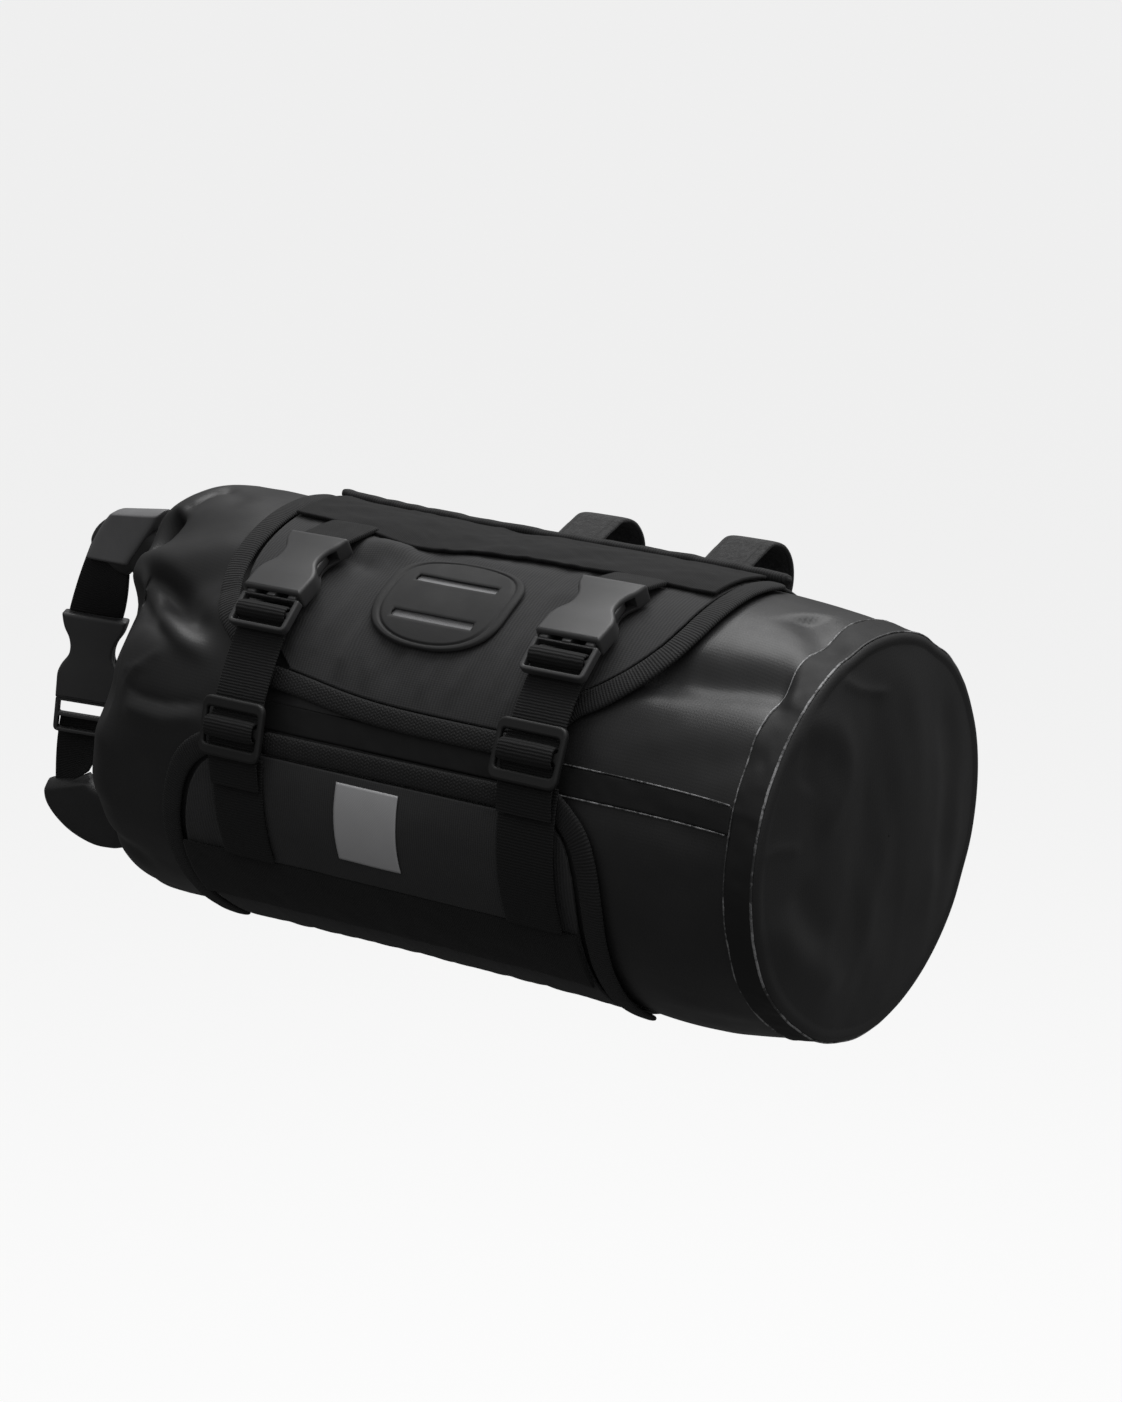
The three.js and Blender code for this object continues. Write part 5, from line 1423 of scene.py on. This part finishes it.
LOOP_WIDTH, LOOP_THICK, BAR_BACK, BAR_UP, BAR_RADIUS = 25.0, 2.4, 95.0, 70.0, 15.9
LOOPS_MIDDLE, LOOP_SPACING = 159, 81
LOOP_REACH = BAR_RADIUS + 0.5 + LOOP_THICK / 2
LOOP_START = TOP_EDGE_ANGLE + degrees_of(9)
# The loop on the harness above and below the bar, as (angle, lift), and its angles round the bar
LOOP_ABOVE = [(LOOP_START, 0.9), (LOOP_START + 8, 0.9), (LOOP_START + 15, 0.9)]
LOOP_ROUND = (122, 90, 55, 20, -15, -50, -95)
LOOP_BELOW = [(162, 1.1), (170, 1.1), (177, 0.9), (187, 0.9)]


def loop_line(along):
    above, below = ([strap_point(along, angle, PANEL + lift + LOOP_THICK / 2) for angle, lift in part]
                    for part in (LOOP_ABOVE, LOOP_BELOW))
    bar = [np.array([0, BAR_BACK + LOOP_REACH * math.cos(a), BAR_UP + LOOP_REACH * math.sin(a)])
           for a in map(math.radians, LOOP_ROUND)]
    return above + bar + below


for side, place in (("left", 0.5), ("right", -0.5)):
    along = LOOPS_MIDDLE + place * LOOP_SPACING
    piece = ribbon("bar_loop_" + side, loop_line(along), -along, LOOP_WIDTH, LOOP_THICK, MAT["pile"], 220)
    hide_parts("handlebar_loop_" + side)

# Closure

CLOSURE_SOCKET, CLOSURE_LADDER, EDGE_GAP = 44.0, 18.0, 0.6
# The buckle's place on the end plane, as shares of the radius, and how far it leans and turns, in degrees
CLOSURE_OUT, CLOSURE_UP, CLOSURE_LEAN, CLOSURE_TURN = 1.12, -0.42, 8, 30
# Where the lower webbing passes behind the ladder: a share of its length, and mm
WEB_BEHIND = (-0.52, -3.2)


def closure_place():
    lean, turn = math.radians(CLOSURE_LEAN), math.radians(CLOSURE_TURN)
    out = np.array([math.sin(turn), -math.cos(turn), 0])
    up = np.array([math.cos(turn) * math.sin(lean), math.sin(turn) * math.sin(lean), math.cos(lean)])
    at = end_plane(CLOSURE_OUT, CLOSURE_UP) + up * CLOSURE_LADDER
    return at, np.stack([np.cross(up, out), up, out], 1)


closure_seat = closure_place()
piece = place_mesh("closure_buckle_socket", socket_mesh(CLOSURE_SOCKET), closure_seat, MAT["buckle"])
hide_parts("closure_socket")
plug = plug_mesh(CLOSURE_SOCKET, CLOSURE_LADDER, 0)
piece = place_mesh("closure_buckle_plug", plug, closure_seat, MAT["buckle"])
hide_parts("closure_plug")


def roll_end(index, beyond):
    """An end of the roll, EDGE_GAP beyond it, with its two directions."""
    t = frames_along(roll_curve)[index]
    return roll_curve[index] + t * beyond, np.array([t[2], 0, -t[0]]), np.array([0, -1.0, 0])


def flat_web(name, start, finish):
    """A doubled strap between two places, each a middle, the way across and the way it faces."""
    across, thick = round_section(36, WEB_CORNER, WEB_CORNER)
    rings = []
    for t in np.linspace(0, 1, 60):
        middle, side, face = (a * (1 - t) + b * t for a, b in zip(start, finish))
        side, face = side / np.linalg.norm(side), face / np.linalg.norm(face)
        flat = side * (across * (STRAP - 1))[:, None]
        rings.append(middle + flat + face * (thick * 2 * STRAP_THICK)[:, None])
    return loft(name, np.array(rings), MAT["webbing"])


across, face = closure_seat[1][:, 0], closure_seat[1][:, 2]
socket_top = (from_seat(closure_seat, (0, CLOSURE_SOCKET + EDGE_GAP, 0)), across, face)
ladder_end = (from_seat(closure_seat, (0, WEB_BEHIND[0] * CLOSURE_LADDER, WEB_BEHIND[1])), across, face)
piece = flat_web("closure_web_upper", roll_end(0, -EDGE_GAP), socket_top)
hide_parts("closure_webbing_upper")
piece = flat_web("closure_web_lower", ladder_end, roll_end(-1, EDGE_GAP))
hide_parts("closure_webbing_lower")

# Camera, floor and light

camera_data = bpy.data.cameras.new("camera")
camera = bpy.data.objects.new("camera", camera_data)
bpy.context.scene.collection.objects.link(camera)
bpy.context.scene.camera = camera
camera.location = (0.730, -1.1206, 0.3345)
camera.rotation_mode = "QUATERNION"
camera.rotation_quaternion = (-Vector((0.554, -0.782, 0.286))).to_track_quat("-Z", "Y")
# The focal length and the photograph's height in its pixels, and a sensor's side in mm
FOCAL_PIXELS, PHOTO_HEIGHT, SENSOR = 3000, 1402, 36
camera_data.lens = FOCAL_PIXELS * SENSOR / PHOTO_HEIGHT
camera_data.sensor_width, camera_data.sensor_fit = SENSOR, "AUTO"
camera_data.clip_end = 30

bpy.context.scene.view_settings.view_transform = "Standard"

# The floor lies far below, because the bag hangs in the air. It is pale by itself and gives no light back.
floor_material, tree, shader = principled("floor")
shader.inputs["Base Color"].default_value = (0.3, 0.3, 0.3, 1)
shader.inputs["Roughness"].default_value = 1.0
shader.inputs["Specular IOR Level"].default_value = 0.0
shader.inputs["Emission Color"].default_value = (1, 1, 1, 1)
shader.inputs["Emission Strength"].default_value = 0.72
bpy.ops.mesh.primitive_plane_add(size=160, location=(0, 0, -0.9))
floor = bpy.context.object
floor.name = "floor"
floor.data.materials.append(floor_material)
floor.visible_diffuse = floor.visible_glossy = False

# A dim room, brighter overhead
world = bpy.data.worlds.new("studio")
bpy.context.scene.world = world
world.use_nodes = True
tree = world.node_tree
direction = node(tree, "ShaderNodeTexCoord").outputs["Generated"]
split = node(tree, "ShaderNodeSeparateXYZ")
tree.links.new(direction, split.inputs[0])
height = ramp(tree, split.outputs[2], -0.1, 0.95, 0.13, 0.75)
sideways = ramp(tree, split.outputs[0], -0.9, 0.3, 0.45, 1.0)
height = math_node(tree, "MULTIPLY", height, sideways)
background = tree.nodes["Background"]
background.inputs["Color"].default_value = (1, 1, 1, 1)
tree.links.new(height, background.inputs["Strength"])


# One large soft light, overhead and behind
LIGHT_PLACE, LIGHT_AIM = Vector((-0.05, 0.42, 1.4)), Vector((0, -0.1, -0.05))
light_data = bpy.data.lights.new("overhead", "AREA")
light_data.shape, light_data.size, light_data.size_y, light_data.energy = "RECTANGLE", 1.5, 1.3, 25
light = bpy.data.objects.new("overhead", light_data)
light.location = LIGHT_PLACE
light.rotation_mode = "QUATERNION"
light.rotation_quaternion = (LIGHT_AIM - LIGHT_PLACE).to_track_quat("-Z", "Y")
bpy.context.scene.collection.objects.link(light)
